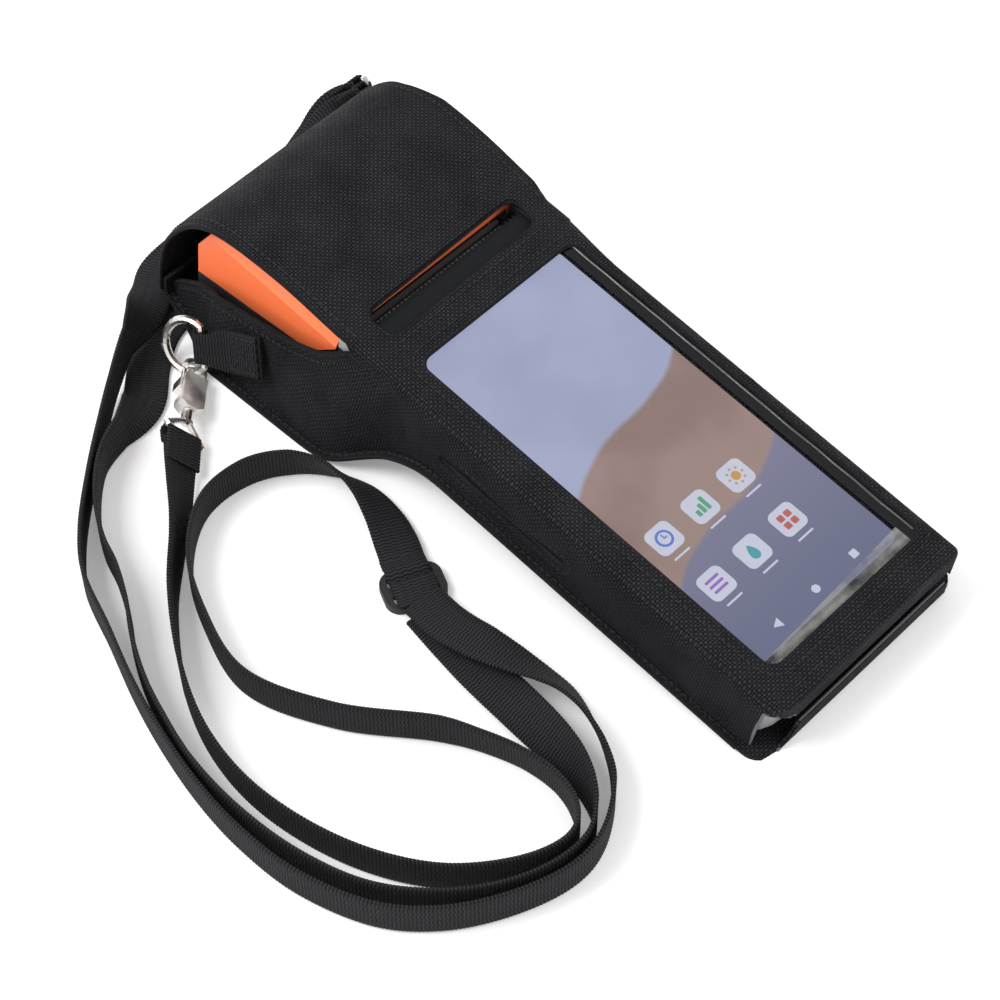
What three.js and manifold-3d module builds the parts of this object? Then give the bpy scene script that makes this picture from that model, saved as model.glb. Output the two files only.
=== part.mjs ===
// Handheld payment terminal with a receipt printer, in a black fabric case with a neck strap.
// Millimetres. The device frame has X across, Y towards the printer end and Z out of the screen,
// with its origin at the middle of the case window, on the outer face of the fabric.
// The rest frame stands on the floor: the device leans in it by the rest tilt.

import * as THREE from 'three';
import { mergeVertices } from 'three/addons/utils/BufferGeometryUtils.js';
import Module from 'manifold-3d';

const wasm = await Module();
wasm.setup();

// General fits
const gap = 0.3;
const overrun = 5;
const small_step = 0.05;
const rest_tilt_deg = 7.6;
const rest_tilt = THREE.MathUtils.degToRad(rest_tilt_deg);

// Case fabric, window, slots and outline
const fabric_t = 1.5;
const film_t = 0.4;
const pocket_slack = 0.4;
const window_w = 69;
const window_l = 150;
const window_r = 5;
const film_border = 5;
const foot_border = 12.7;
const slot_w = 66;
const slot_l = 10.3;
const slot_y = 96.45;
const slot_r = 3;
const flap_hinge_y = 94;
const flap_end_y = 183.9;
const flap_rise = 4;
const flap_drop = 57;
const neck_y = 57;
const hump_y = 92;
const belly_end_y = 152;
const back_end_top = -46;
const crease_r = 5;
const slack_left = 3.9;
const slack_right = 1.9;
const hump_slack = 3.5;
const foot_flare = 1.5;
const hump_flare = 11;
const flange_w = 3;
const ear_end_y = 176;
const panel_split_y = 60;
const panel_split_z = -8;
const key_slit_y = 24.5;
const key_slit_l = 55;
const key_slit_h = 3;
const key_slit_z = -16;
const foot_lip_h = 11;
const corner_opening = 11.4;
const back_lip_h = 9;
const camera_hole_r = 6;
const patch_t = 1.4;
const patch_h = 9;
const patch_w = 64;

// Terminal housing
const terminal_dx = -1.5;
const terminal_t = 21.5;
const terminal_foot_y = -84.8;
const terminal_end_y = 177;
const frame_border = 2.9;
const head_step = 1;
const head_start_y = 86;
const corner_r = 9;
const end_chamfer = 9;
const shell_wall = 2;
const slim_end_y = 72;
const seam_z = -9.7;
const frame_end_y = 101.4;
const bezel_drop = 0.3;
const rim_chamfer = 1.6;
const glass_t = 0.8;
const glass_border = 4.1;
const glass_foot_y = -82.4;
const glass_head_y = 84.2;
const panel_t = 2;
const panel_border = 3.2;
const display_y = 7;
const display_l = 150.9;
const web_t = 1.2;

// Printer lid
const lid_near_y = 102.6;
const lid_near_chamfer = 2.2;
const lid_near_drop = 5.2;
const lid_t = 1.8;
const lid_top_z = -2;
const lid_chamfer_w = 4.5;
const lid_chamfer_z = -11.6;
const lid_tip_z = -12.6;
const lid_heel_y = 114.2;
const lid_heel_z = -25.8;
const lid_end_z = -38;
const lid_end_y = 176.8;
const lid_crest_y = 158;
const lid_gap = 0.6;
const lid_hinge_y = 174;
const lid_hinge_z = -40.2;
const hinge_pin_r = 1.2;
const pin_inset = 3;
const knuckle_r = 2.8;
const barrel_inset = 8.5;
const trough_gap = 4;
const trough_r = 3.9;
const lug_t = 4;
const lug_inset = 10;
const shaft_r = 1.5;
const arm_r = 3.3;
const notch_lean = 0.6;

// Printer mechanism
const roll_y = 140;
const roll_z = -27;
const roll_r = 20;
const core_r = 7;
const core_bore_r = 5.5;
const platen_y = 107.5;
const platen_z = -13.5;
const platen_r = 5;
const platen_w = 59;
const roll_play = 1;
const arm_play = 0.7;
const arm_t = 1.6;
const cheek_step = 2.4;
const cheek_t = 1;
const gear_step = 1.6;
const gear_cover = 5.3;
const gear_w = 3;
const gear_module = 0.6;
const platen_teeth = 20;
const idler_teeth = 24;
const pinion_teeth = 10;
const gear_slack = 0.2;
const idler_angle = THREE.MathUtils.degToRad(-101);
const pinion_angle = THREE.MathUtils.degToRad(-139);
const motor_r = 7.5;
const motor_l = 18;
const motor_shaft_r = 1;
const idler_pin_r = 1.2;
const mech_near_y = 88;
const mech_far_y = 117;
const mech_floor_z = -42.5;
const head_plate_t = 1.6;
const head_plate_h = 11;
const deck_y = 87;
const deck_edge_y = 97.6;
const deck_inset = 5.9;
const deck_t = 2;
const tooth_pitch = 1.83;
const tooth_depth = 1.5;

// Inner parts of the slim half
const board_t = 1.2;
const board_l = 70;
const board_inset = 6.5;
const board_y = 0;
const battery_l = 60;
const battery_inset = 12.5;
const battery_t = 8;
const battery_y = -43;
const speaker_r = 6;
const speaker_t = 3.4;
const speaker_inset = 9.5;
const speaker_y = -66;
const camera_step = 6;
const camera_size = 10;
const camera_t = 5.2;
const lens_r = 4;
const lens_t = 1.2;
const usb_w = 9;
const usb_h = 3.2;
const usb_l = 7.3;
const usb_z = -15;
const key_l = 10;
const key_h = 2.8;
const key_proud = 0.8;
const key_z = -15.2;
const key_flange = 1;
const key_flange_t = 1.2;
const key_travel = 0.5;
const key_first_y = 34;
const key_pitch = 24.5;
const switch_t = 1;
const screw_r = 2.6;
const screw_t = 1.4;
const screw_inset = 8.5;
const screw_y_shares = [-0.86, 0.52];

// Ring, hook and strap hardware
const ring_wire_r = 1.5;
const ring_bar = 14;
const ring_r = 9.2;
const ring_clearance = 3;
const ring_y = 148.6;
const ring_z = -45.4;
const ring_normal = [-0.87, -0.11, 0.48];
const ring_bar_way = [-0.34, -0.52, -0.78];
const tab_w = 15;
const tab_t = 1.6;
const tab_l = 27;
const tab_fold_w = 11;
const tab_taper = 6;
const tab_eye_r = 3.3;
const tab_back = 2.6;
const tab_way = [2, -23.3, 12.3];
const hook_wire_r = 1.2;
const hook_r = 3.7;
const barrel_l = 16;
const barrel_w = 5.6;
const barrel_h = 8.6;
const barrel_start = 4.7;
const window_cut_l = 8.4;
const window_cut_w = 3.6;
const bolt_r = 0.9;
const bolt_block_l = 4;
const swivel_r = 2.2;
const swivel_l = 5.5;
const eye_l = 7;
const eye_wire_r = 1.1;
const strap_w = 15;
const strap_t = 1.4;
const slider_l = 21;
const slider_w = 15.5;
const slider_t = 3;
const slider_rim = 2.6;
const slider_bar = 3;
const slider_x = -76;
const slider_y = 37.2;
const slider_heading = [-0.43, -0.9];

// Sizes that follow
const roll_w = platen_w - 2 * roll_play;
const arm_x = platen_w / 2 + arm_play;
const cheek_x = arm_x + cheek_step;
const gear_x = cheek_x + gear_step;
const glass_half = window_w / 2 + glass_border;
const panel_half = glass_half - panel_border;
const body_half = glass_half + frame_border;
const head_half = Math.max(body_half + head_step, gear_x + gear_w + gear_cover);
const wall_left = body_half + slack_left;
const wall_right = body_half + slack_right;
const hump_wall = head_half + hump_slack;
const foot_lip_left = corner_opening - wall_left;
const barrel_half = head_half - barrel_inset;
const trough_half = barrel_half + trough_gap;
const hinge_pin_l = 2 * (barrel_half - pin_inset);
const shell_lug_x = barrel_half - lug_inset;
const deck_half = head_half - deck_inset;
const board_w = 2 * (body_half - board_inset);
const battery_w = 2 * (body_half - battery_inset);
const camera_y = board_y + board_l / 2 + camera_step;
const speaker_x = body_half - speaker_inset;
const screw_x = body_half - screw_inset;
const ring_x = hump_wall + hump_flare + ring_clearance;
const glass_top = -(fabric_t + gap + film_t + pocket_slack);
const terminal_back = glass_top - terminal_t;
const foot_depth = pocket_slack + fabric_t - terminal_back;
const foot_y = -(window_l / 2 + foot_border);
const shell_offset = fabric_t + pocket_slack;
const frame_top = glass_top - bezel_drop;
const shell_top = seam_z - gap;
const shell_floor = terminal_back + shell_wall;
const slim_slope = Math.tan(rest_tilt);
const rest_lift = foot_depth * Math.cos(rest_tilt) - foot_y * Math.sin(rest_tilt);
const idler_distance = gear_module * (platen_teeth + idler_teeth) / 2 + gear_slack;
const idler_y = platen_y + idler_distance * Math.cos(idler_angle);
const idler_z = platen_z + idler_distance * Math.sin(idler_angle);
const pinion_distance = gear_module * (pinion_teeth + idler_teeth) / 2 + gear_slack;
const pinion_y = idler_y + pinion_distance * Math.cos(pinion_angle);
const pinion_z = idler_z + pinion_distance * Math.sin(pinion_angle);

// Materials
function material(color, roughness, metalness = 0) {
  return new THREE.MeshStandardMaterial({ color, roughness, metalness });
}

const black_fabric = material(0x222224, 0.9);
const black_webbing = material(0x2b2b2d, 0.9);
const clear_film = material(0xd8dde4, 0.1);
const grey_plastic = material(0xc9ccce, 0.45);
const dark_plastic = material(0x303234, 0.5);
const orange_plastic = material(0xff5a2a, 0.35);
const glass = material(0x0c0d10, 0.05);
const screen = material(0x8d93b4, 0.2);
const steel = material(0xb9bcc0, 0.3, 1);
const nickel = material(0xd6d2c8, 0.2, 1);
const rubber = material(0x1c1c1c, 0.8);
const white_plastic = material(0xe8e8e4, 0.5);
const paper = material(0xf3f2ee, 0.9);
const circuit_green = material(0x1f5a3a, 0.5);
const cell_grey = material(0x5b6068, 0.5);
const hook_tape = material(0x18181a, 1);

// Solids from closed geometries
function toSolid(geometry) {
  const bare = new THREE.BufferGeometry();
  bare.setAttribute('position', geometry.getAttribute('position').clone());
  if (geometry.index) bare.setIndex(geometry.index.clone());
  const merged = mergeVertices(bare, 1e-5);
  const mesh = new wasm.Mesh({
    numProp: 3,
    vertProperties: Float32Array.from(merged.getAttribute('position').array),
    triVerts: Uint32Array.from(merged.index.array),
  });
  return new wasm.Manifold(mesh);
}

function toGeometry(solid) {
  const mesh = solid.getMesh();
  const geometry = new THREE.BufferGeometry();
  geometry.setAttribute('position', new THREE.BufferAttribute(Float32Array.from(mesh.vertProperties), 3));
  geometry.setIndex(new THREE.BufferAttribute(Uint32Array.from(mesh.triVerts), 1));
  geometry.computeVertexNormals();
  return geometry;
}

function join(first, ...others) {
  return others.reduce((sum, other) => sum.add(other), first);
}

function cut(first, ...others) {
  return others.reduce((rest, other) => rest.subtract(other), first);
}

// Outlines
function outline(points) {
  return new THREE.Shape(points.map(([u, v]) => new THREE.Vector2(u, v)));
}

function roundedRect(width, height, radius, u = 0, v = 0) {
  const shape = new THREE.Shape();
  const w = width / 2;
  const h = height / 2;
  shape.moveTo(u - w + radius, v - h);
  shape.lineTo(u + w - radius, v - h);
  shape.absarc(u + w - radius, v - h + radius, radius, -Math.PI / 2, 0);
  shape.lineTo(u + w, v + h - radius);
  shape.absarc(u + w - radius, v + h - radius, radius, 0, Math.PI / 2);
  shape.lineTo(u - w + radius, v + h);
  shape.absarc(u - w + radius, v + h - radius, radius, Math.PI / 2, Math.PI);
  shape.lineTo(u - w, v - h + radius);
  shape.absarc(u - w + radius, v - h + radius, radius, Math.PI, Math.PI * 1.5);
  return shape;
}

// A path with each inner corner eased by a short curve of the given reach
function eased(points, reach, steps = 3) {
  const result = [points[0]];
  for (let i = 1; i < points.length - 1; i += 1) {
    const before = new THREE.Vector2(...points[i - 1]);
    const corner = new THREE.Vector2(...points[i]);
    const after = new THREE.Vector2(...points[i + 1]);
    const back = Math.min(reach, corner.distanceTo(before) / 2);
    const ahead = Math.min(reach, corner.distanceTo(after) / 2);
    const start = corner.clone().add(before.sub(corner).setLength(back));
    const end = corner.clone().add(after.sub(corner).setLength(ahead));
    const curve = new THREE.QuadraticBezierCurve(start, corner, end);
    curve.getPoints(steps).forEach((point) => result.push([point.x, point.y]));
  }
  result.push(points[points.length - 1]);
  const apart = ([u, v], [a, b]) => Math.hypot(u - a, v - b) > small_step;
  return result.filter((point, i) => i === 0 || apart(point, result[i - 1]));
}

// A path moved sideways, to its right
function shifted(path, distance) {
  return path.map((point, i) => {
    const before = new THREE.Vector2(...path[Math.max(i - 1, 0)]);
    const here = new THREE.Vector2(...point);
    const after = new THREE.Vector2(...path[Math.min(i + 1, path.length - 1)]);
    const inward = here.clone().sub(before);
    const onward = after.clone().sub(here);
    if (inward.length() === 0) inward.copy(onward);
    if (onward.length() === 0) onward.copy(inward);
    inward.normalize();
    onward.normalize();
    const normal = new THREE.Vector2(inward.y + onward.y, -inward.x - onward.x).normalize();
    const reach = distance / Math.max(normal.dot(new THREE.Vector2(onward.y, -onward.x)), 0.5);
    return [point[0] + normal.x * reach, point[1] + normal.y * reach];
  });
}

// A band of one thickness along a path, on its right-hand side
function band(path, thickness) {
  return outline([...path, ...shifted(path, thickness).reverse()]);
}

// Prisms along X, Y and Z from outlines drawn in (y, z), (x, z) and (x, y)
function extruded(shape, depth, curveSegments) {
  return new THREE.ExtrudeGeometry(shape, { depth, bevelEnabled: false, curveSegments });
}

function prismX(shape, x0, x1, curveSegments = 5) {
  const turn = new THREE.Matrix4().makeBasis(
    new THREE.Vector3(0, 1, 0), new THREE.Vector3(0, 0, 1), new THREE.Vector3(1, 0, 0));
  return toSolid(extruded(shape, x1 - x0, curveSegments).applyMatrix4(turn).translate(x0, 0, 0));
}

function prismY(shape, y0, y1, curveSegments = 5) {
  const turn = new THREE.Matrix4().makeBasis(
    new THREE.Vector3(1, 0, 0), new THREE.Vector3(0, 0, 1), new THREE.Vector3(0, -1, 0));
  return toSolid(extruded(shape, y1 - y0, curveSegments).applyMatrix4(turn).translate(0, y1, 0));
}

function prismZ(shape, z0, z1, curveSegments = 5) {
  return toSolid(extruded(shape, z1 - z0, curveSegments).translate(0, 0, z0));
}

// A prism along Z whose top edge is chamfered, from a plan that can be drawn with an inset
function chamferedPrism(plan, z0, z1, chamfer) {
  const levels = [[0, z0], [0, z1 - chamfer], [chamfer, z1]];
  return toSolid(skin(levels.map(([inset, z]) =>
    plan(inset).getPoints().slice(0, -1).map((point) => new THREE.Vector3(point.x, point.y, z)))));
}

function block(x0, x1, y0, y1, z0, z1) {
  const box = new THREE.BoxGeometry(x1 - x0, y1 - y0, z1 - z0);
  return toSolid(box.translate((x0 + x1) / 2, (y0 + y1) / 2, (z0 + z1) / 2));
}

function rodX(radius, x0, x1, y, z, sides = 20) {
  const rod = new THREE.CylinderGeometry(radius, radius, x1 - x0, sides).rotateZ(Math.PI / 2);
  return toSolid(rod.translate((x0 + x1) / 2, y, z));
}

function rodZ(radius, z0, z1, x, y, sides = 20) {
  const rod = new THREE.CylinderGeometry(radius, radius, z1 - z0, sides).rotateX(Math.PI / 2);
  return toSolid(rod.translate(x, y, (z0 + z1) / 2));
}

// A closed skin over rings of points that all have the same count
function skin(rings, closed = false) {
  const count = rings[0].length;
  const positions = rings.flat().flatMap((point) => point.toArray());
  const index = [];
  const spans = closed ? rings.length : rings.length - 1;
  for (let i = 0; i < spans; i += 1) {
    const here = i * count;
    const next = ((i + 1) % rings.length) * count;
    for (let j = 0; j < count; j += 1) {
      const k = (j + 1) % count;
      index.push(here + j, here + k, next + k, here + j, next + k, next + j);
    }
  }
  if (!closed) {
    const faces = THREE.ShapeUtils.triangulateShape(flatRing(rings[0]), []);
    const last = (rings.length - 1) * count;
    faces.forEach(([a, b, c]) => index.push(a, c, b));
    faces.forEach(([a, b, c]) => index.push(last + a, last + b, last + c));
  }
  const geometry = new THREE.BufferGeometry();
  geometry.setAttribute('position', new THREE.Float32BufferAttribute(positions, 3));
  geometry.setIndex(index);
  return facingOut(geometry);
}

function flatRing(ring) {
  const centre = ring.reduce((sum, point) => sum.add(point), new THREE.Vector3()).divideScalar(ring.length);
  const u = ring[0].clone().sub(centre).normalize();
  let normal = new THREE.Vector3();
  ring.forEach((point, i) => {
    const next = ring[(i + 1) % ring.length];
    normal.add(point.clone().sub(centre).cross(next.clone().sub(centre)));
  });
  normal = normal.normalize();
  const v = normal.clone().cross(u);
  return ring.map((point) => {
    const arm = point.clone().sub(centre);
    return new THREE.Vector2(arm.dot(u), arm.dot(v));
  });
}

function facingOut(geometry) {
  const position = geometry.getAttribute('position');
  const index = geometry.index.array;
  const [a, b, c] = [new THREE.Vector3(), new THREE.Vector3(), new THREE.Vector3()];
  let volume = 0;
  for (let i = 0; i < index.length; i += 3) {
    a.fromBufferAttribute(position, index[i]);
    b.fromBufferAttribute(position, index[i + 1]);
    c.fromBufferAttribute(position, index[i + 2]);
    volume += a.dot(b.cross(c));
  }
  if (volume < 0) {
    for (let i = 0; i < index.length; i += 3) [index[i], index[i + 1]] = [index[i + 1], index[i]];
  }
  return geometry;
}

// Round wire along points that all lie in one plane, open or closed
function wire(points, radius, normal, closed, sides = 8) {
  const rings = points.map((point, i) => {
    const last = points.length - 1;
    const before = closed ? points[(i + last) % points.length] : points[Math.max(i - 1, 0)];
    const after = closed ? points[(i + 1) % points.length] : points[Math.min(i + 1, last)];
    const tangent = after.clone().sub(before).normalize();
    const side = tangent.clone().cross(normal).normalize();
    return Array.from({ length: sides }, (_, k) => {
      const turn = (k / sides) * Math.PI * 2;
      return point.clone().addScaledVector(normal, radius * Math.cos(turn))
        .addScaledVector(side, radius * Math.sin(turn));
    });
  });
  return skin(rings, closed);
}

// Placing meshes
const device = new THREE.Group();
const laid = new THREE.Group();
const cord_names = new Set();

function addSolid(group, name, solid, look) {
  const mesh = new THREE.Mesh(toGeometry(solid), look);
  mesh.name = name;
  group.add(mesh);
  return mesh;
}

function add(name, solid, look) {
  return addSolid(device, name, solid, look);
}

function addCord(name, solid, look) {
  cord_names.add(name);
  return addSolid(laid, name, solid, look);
}

// Heights of the case along its length
function floorLine(y) {
  return -foot_depth - slim_slope * (y - foot_y);
}

const back_end_y = terminal_end_y + pocket_slack + fabric_t;
const heel_share = 0.62;

function backPath() {
  const heel_y = belly_end_y + (back_end_y - belly_end_y) * heel_share;
  const corner_z = floorLine(back_end_y) - back_end_top;
  return [
    [foot_y, -foot_depth],
    [neck_y, -foot_depth],
    [hump_y, floorLine(hump_y)],
    [belly_end_y, floorLine(belly_end_y)],
    [heel_y, floorLine(belly_end_y) + fabric_t],
    [back_end_y, back_end_top + corner_z * heel_share],
    [back_end_y, back_end_top],
  ];
}

// The same line with its bends eased, moved towards the inside of the case
function backLine(inset) {
  const line = eased(backPath(), 2 * crease_r);
  return inset === 0 ? line : shifted(line, -inset);
}

function heightOn(path, y) {
  for (let i = 1; i < path.length; i += 1) {
    const [y0, z0] = path[i - 1];
    const [y1, z1] = path[i];
    if (y <= y1 && y1 > y0) return z0 + (z1 - z0) * (y - y0) / (y1 - y0);
  }
  return path[path.length - 1][1];
}

// Half widths of the case at its creases and at the foot of its walls
const flare_start_share = 0.35;
const tail_share = 0.9;

function smooth(t) {
  const s = THREE.MathUtils.clamp(t, 0, 1);
  return s * s * (3 - 2 * s);
}

function caseWidths(y) {
  const widen = smooth((y - neck_y) / (hump_y - neck_y));
  const flare_y = neck_y + (hump_y - neck_y) * flare_start_share;
  const flare = smooth((y - flare_y) / (hump_y - flare_y));
  const tail = Math.sqrt(THREE.MathUtils.clamp((y - belly_end_y) / (ear_end_y - belly_end_y), 0, 1));
  const low = foot_flare + (hump_flare - foot_flare) * flare - tail * tail_share * hump_flare;
  const left = wall_left + (hump_wall - wall_left) * widen;
  const right = wall_right + (hump_wall - wall_right) * widen;
  return { left, right, low };
}

function sleeveRing(y, inset, drop) {
  const { left, right, low } = caseWidths(y);
  const z_low = heightOn(backLine(fabric_t + gap), y) - drop;
  const radius = crease_r - inset;
  const ring = [new THREE.Vector3(-left - low + inset, y, z_low)];
  const arc = [0, 1 / 3, 2 / 3, 1];
  arc.forEach((t) => {
    const turn = t * Math.PI / 2;
    const x = -left + inset + radius * (1 - Math.cos(turn));
    ring.push(new THREE.Vector3(x, y, -inset - radius * (1 - Math.sin(turn))));
  });
  arc.forEach((t) => {
    const turn = t * Math.PI / 2;
    const x = right - inset - radius * (1 - Math.sin(turn));
    ring.push(new THREE.Vector3(x, y, -inset - radius * (1 - Math.cos(turn))));
  });
  ring.push(new THREE.Vector3(right + low - inset, y, z_low));
  return ring;
}

function sleeveStations(y0, y1) {
  const bends = backLine(fabric_t + gap).map(([y]) => y);
  const flare = [0.35, 0.5, 0.65].map((share) => neck_y + (hump_y - neck_y) * share);
  const marks = [...bends, ...flare].filter((y) => y > y0 + gap && y < y1 - gap).sort((a, b) => a - b);
  return [y0, ...marks, y1];
}

function sleeve() {
  const outer = sleeveStations(foot_y, ear_end_y).map((y) => sleeveRing(y, 0, 0));
  const inner_stations = sleeveStations(foot_y + fabric_t, ear_end_y + overrun);
  const inner = inner_stations.map((y) => sleeveRing(y, fabric_t, overrun));
  return cut(toSolid(skin(outer)), toSolid(skin(inner)));
}

// Case panels
const reach_x = hump_wall + hump_flare + overrun;
const top_reach = flap_rise + overrun;
const low_reach = floorLine(back_end_y) - overrun;

function slotCut() {
  return prismZ(roundedRect(slot_w, slot_l, slot_r, 0, slot_y), low_reach, top_reach);
}

function caseFrontPanel(tube) {
  const window_cut = prismZ(roundedRect(window_w, window_l, window_r), -crease_r, top_reach);
  const beyond = block(-reach_x, reach_x, flap_hinge_y - gap / 2, back_end_y + overrun, low_reach, top_reach);
  const hump_sides = block(-reach_x, reach_x, panel_split_y, back_end_y + overrun, low_reach, panel_split_z);
  const slit_z = key_slit_z - key_slit_h / 2;
  const slit = block(-reach_x, -wall_left + crease_r, key_slit_y - key_slit_l / 2,
    key_slit_y + key_slit_l / 2, slit_z, slit_z + key_slit_h);
  const below_lip = block(-wall_left + fabric_t, wall_right - fabric_t, foot_y - overrun,
    foot_y + fabric_t + overrun, low_reach, -foot_lip_h);
  const open_corner = block(-wall_left + fabric_t, foot_lip_left, foot_y - overrun,
    foot_y + fabric_t + overrun, low_reach, -fabric_t);
  return cut(tube, window_cut, beyond, hump_sides, slit, below_lip, open_corner, slotCut());
}

// The hem of the open side, as shares of the length and depth behind the fold
const hem_shares = [
  [0.03, 0.04], [0.05, 0.15], [0.12, 0.25], [0.29, 0.37], [0.46, 0.43], [0.68, 0.51], [0.83, 0.61],
  [0.97, 0.82], [1, 0.87],
];

function hemOutline() {
  const length = ear_end_y - flap_hinge_y;
  const depth = -floorLine(hump_y);
  const hem = hem_shares.map(([a, b]) => [flap_hinge_y + length * a, -fabric_t - depth * b]);
  const split_y = panel_split_y + gap;
  const split_z = panel_split_z - gap;
  return outline([
    [split_y, split_z], [flap_hinge_y + gap, split_z], [flap_hinge_y + gap, -fabric_t - 2 * gap],
    ...hem, [ear_end_y + overrun, hem[hem.length - 1][1]], [ear_end_y + overrun, low_reach],
    [split_y, low_reach],
  ]);
}

function caseSide(tube, side) {
  const far = side * reach_x;
  const keep = prismX(hemOutline(), Math.min(0, far), Math.max(0, far));
  return tube.intersect(keep);
}

function caseBackPanel() {
  const lip_z = -foot_depth + back_lip_h;
  const strip = prismX(band([[foot_y, lip_z], ...backLine(0)].reverse(), fabric_t), -reach_x, reach_x);
  const edge = [];
  const marks = sleeveStations(foot_y - overrun, back_end_y + overrun);
  marks.forEach((y) => {
    const { left, low } = caseWidths(y);
    edge.push([-left - low - flange_w, y]);
  });
  marks.slice().reverse().forEach((y) => {
    const { right, low } = caseWidths(y);
    edge.push([right + low + flange_w, y]);
  });
  const plan = prismZ(outline(edge), low_reach, top_reach);
  const camera_cut = rodZ(camera_hole_r, low_reach, top_reach, terminal_dx, camera_y);
  const corner_cut = block(-reach_x, foot_lip_left - crease_r, foot_y - overrun, foot_y + fabric_t,
    -foot_depth + fabric_t, top_reach);
  const other_cut = block(wall_right - fabric_t, reach_x, foot_y - overrun, foot_y + fabric_t,
    -foot_depth + fabric_t, top_reach);
  return cut(strip.intersect(plan), camera_cut, corner_cut, other_cut);
}

// The flap from its fold over the lid and down the far end, as shares of its run and drop
const flap_shares = [[0.12, 0.3], [0.3, 0.82], [0.47, 1], [0.62, 0.85], [0.74, 0.2]];
const tail_shares = [[0.825, 0.09], [0.905, 0.26], [0.973, 0.49], [1, 0.74]];

function flapPath() {
  const start = flap_hinge_y + gap / 2;
  const run = flap_end_y - start;
  const rising = flap_shares.map(([a, b]) => [start + run * a, flap_rise * b]);
  const falling = tail_shares.map(([a, b]) => [start + run * a, -flap_drop * b]);
  return [[start, 0], ...rising, ...falling, [flap_end_y, -flap_drop]];
}

function caseFlap() {
  const strip = prismX(band(eased(flapPath(), crease_r, 2), fabric_t), -reach_x, reach_x);
  const start = flap_hinge_y - overrun;
  const run = flap_end_y - flap_hinge_y;
  const left_shares = [[0, 0.985], [0.4, 1], [0.8, 1.04], [1.2, 1.045]];
  const right_shares = [[1.2, 0.95], [0.8, 0.94], [0.62, 1.01], [0, 1]];
  const left = left_shares.map(([a, b]) => [-hump_wall * b, start + run * a]);
  const right = right_shares.map(([a, b]) => [hump_wall * b, start + run * a]);
  const plan = prismZ(outline([...left, ...right]), -flap_drop - overrun, top_reach);
  return cut(strip.intersect(plan), slotCut());
}

function addCase() {
  const tube = sleeve();
  add('case_front_panel', caseFrontPanel(tube), black_fabric);
  add('case_side_left', caseSide(tube, -1), black_fabric);
  add('case_side_right', caseSide(tube, 1), black_fabric);
  add('case_back_panel', caseBackPanel(), black_fabric);
  add('case_flap', caseFlap(), black_fabric);
  const film_z = -fabric_t - gap;
  const film = roundedRect(window_w + 2 * film_border, window_l + 2 * film_border, window_r);
  add('clear_window', prismZ(film, film_z - film_t, film_z), clear_film);
  const loop_y = back_end_y + gap;
  const patch_top = back_end_top - gap;
  add('loop_patch', block(-patch_w / 2, patch_w / 2, loop_y, loop_y + patch_t,
    patch_top - patch_h, patch_top), hook_tape);
  const hook_y = flap_end_y - fabric_t - gap;
  add('hook_patch', block(-patch_w / 2, patch_w / 2, hook_y - patch_t, hook_y,
    patch_top - patch_h, patch_top), hook_tape);
}

// Terminal outlines, drawn about the terminal's own middle
function terminalPlan(inset) {
  const body = body_half - inset;
  const head = head_half - inset;
  const foot = terminal_foot_y + inset;
  const end = terminal_end_y - inset;
  const half = [
    [head - end_chamfer, end], [head, end - end_chamfer], [head, head_start_y],
    [body, head_start_y - end_chamfer], [body, foot + corner_r],
  ];
  const corner = [0.25, 0.5, 0.75, 1].map((t) => {
    const turn = t * Math.PI / 2;
    return [body - corner_r + corner_r * Math.cos(turn), foot + corner_r - corner_r * Math.sin(turn)];
  });
  const right = [...half, ...corner];
  const left = right.map(([x, y]) => [-x, y]).reverse();
  return outline([...right, ...left].map(([x, y]) => [x + terminal_dx, y]));
}

function shellProfile() {
  const bottom = backLine(shell_offset)
    .filter(([y]) => y > terminal_foot_y + corner_r && y < terminal_end_y - gap);
  const end_z = bottom[bottom.length - 1][1];
  return outline([
    [terminal_foot_y, terminal_back + corner_r / 3], [terminal_foot_y + corner_r / 3, terminal_back],
    ...bottom, [terminal_end_y, end_z + terminal_end_y - bottom[bottom.length - 1][0]],
    [terminal_end_y, lid_end_z - lid_gap], [lid_heel_y, lid_heel_z - lid_gap],
    [frame_end_y, lid_tip_z - lid_gap], [frame_end_y, shell_top], [terminal_foot_y, shell_top],
  ]);
}

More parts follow.
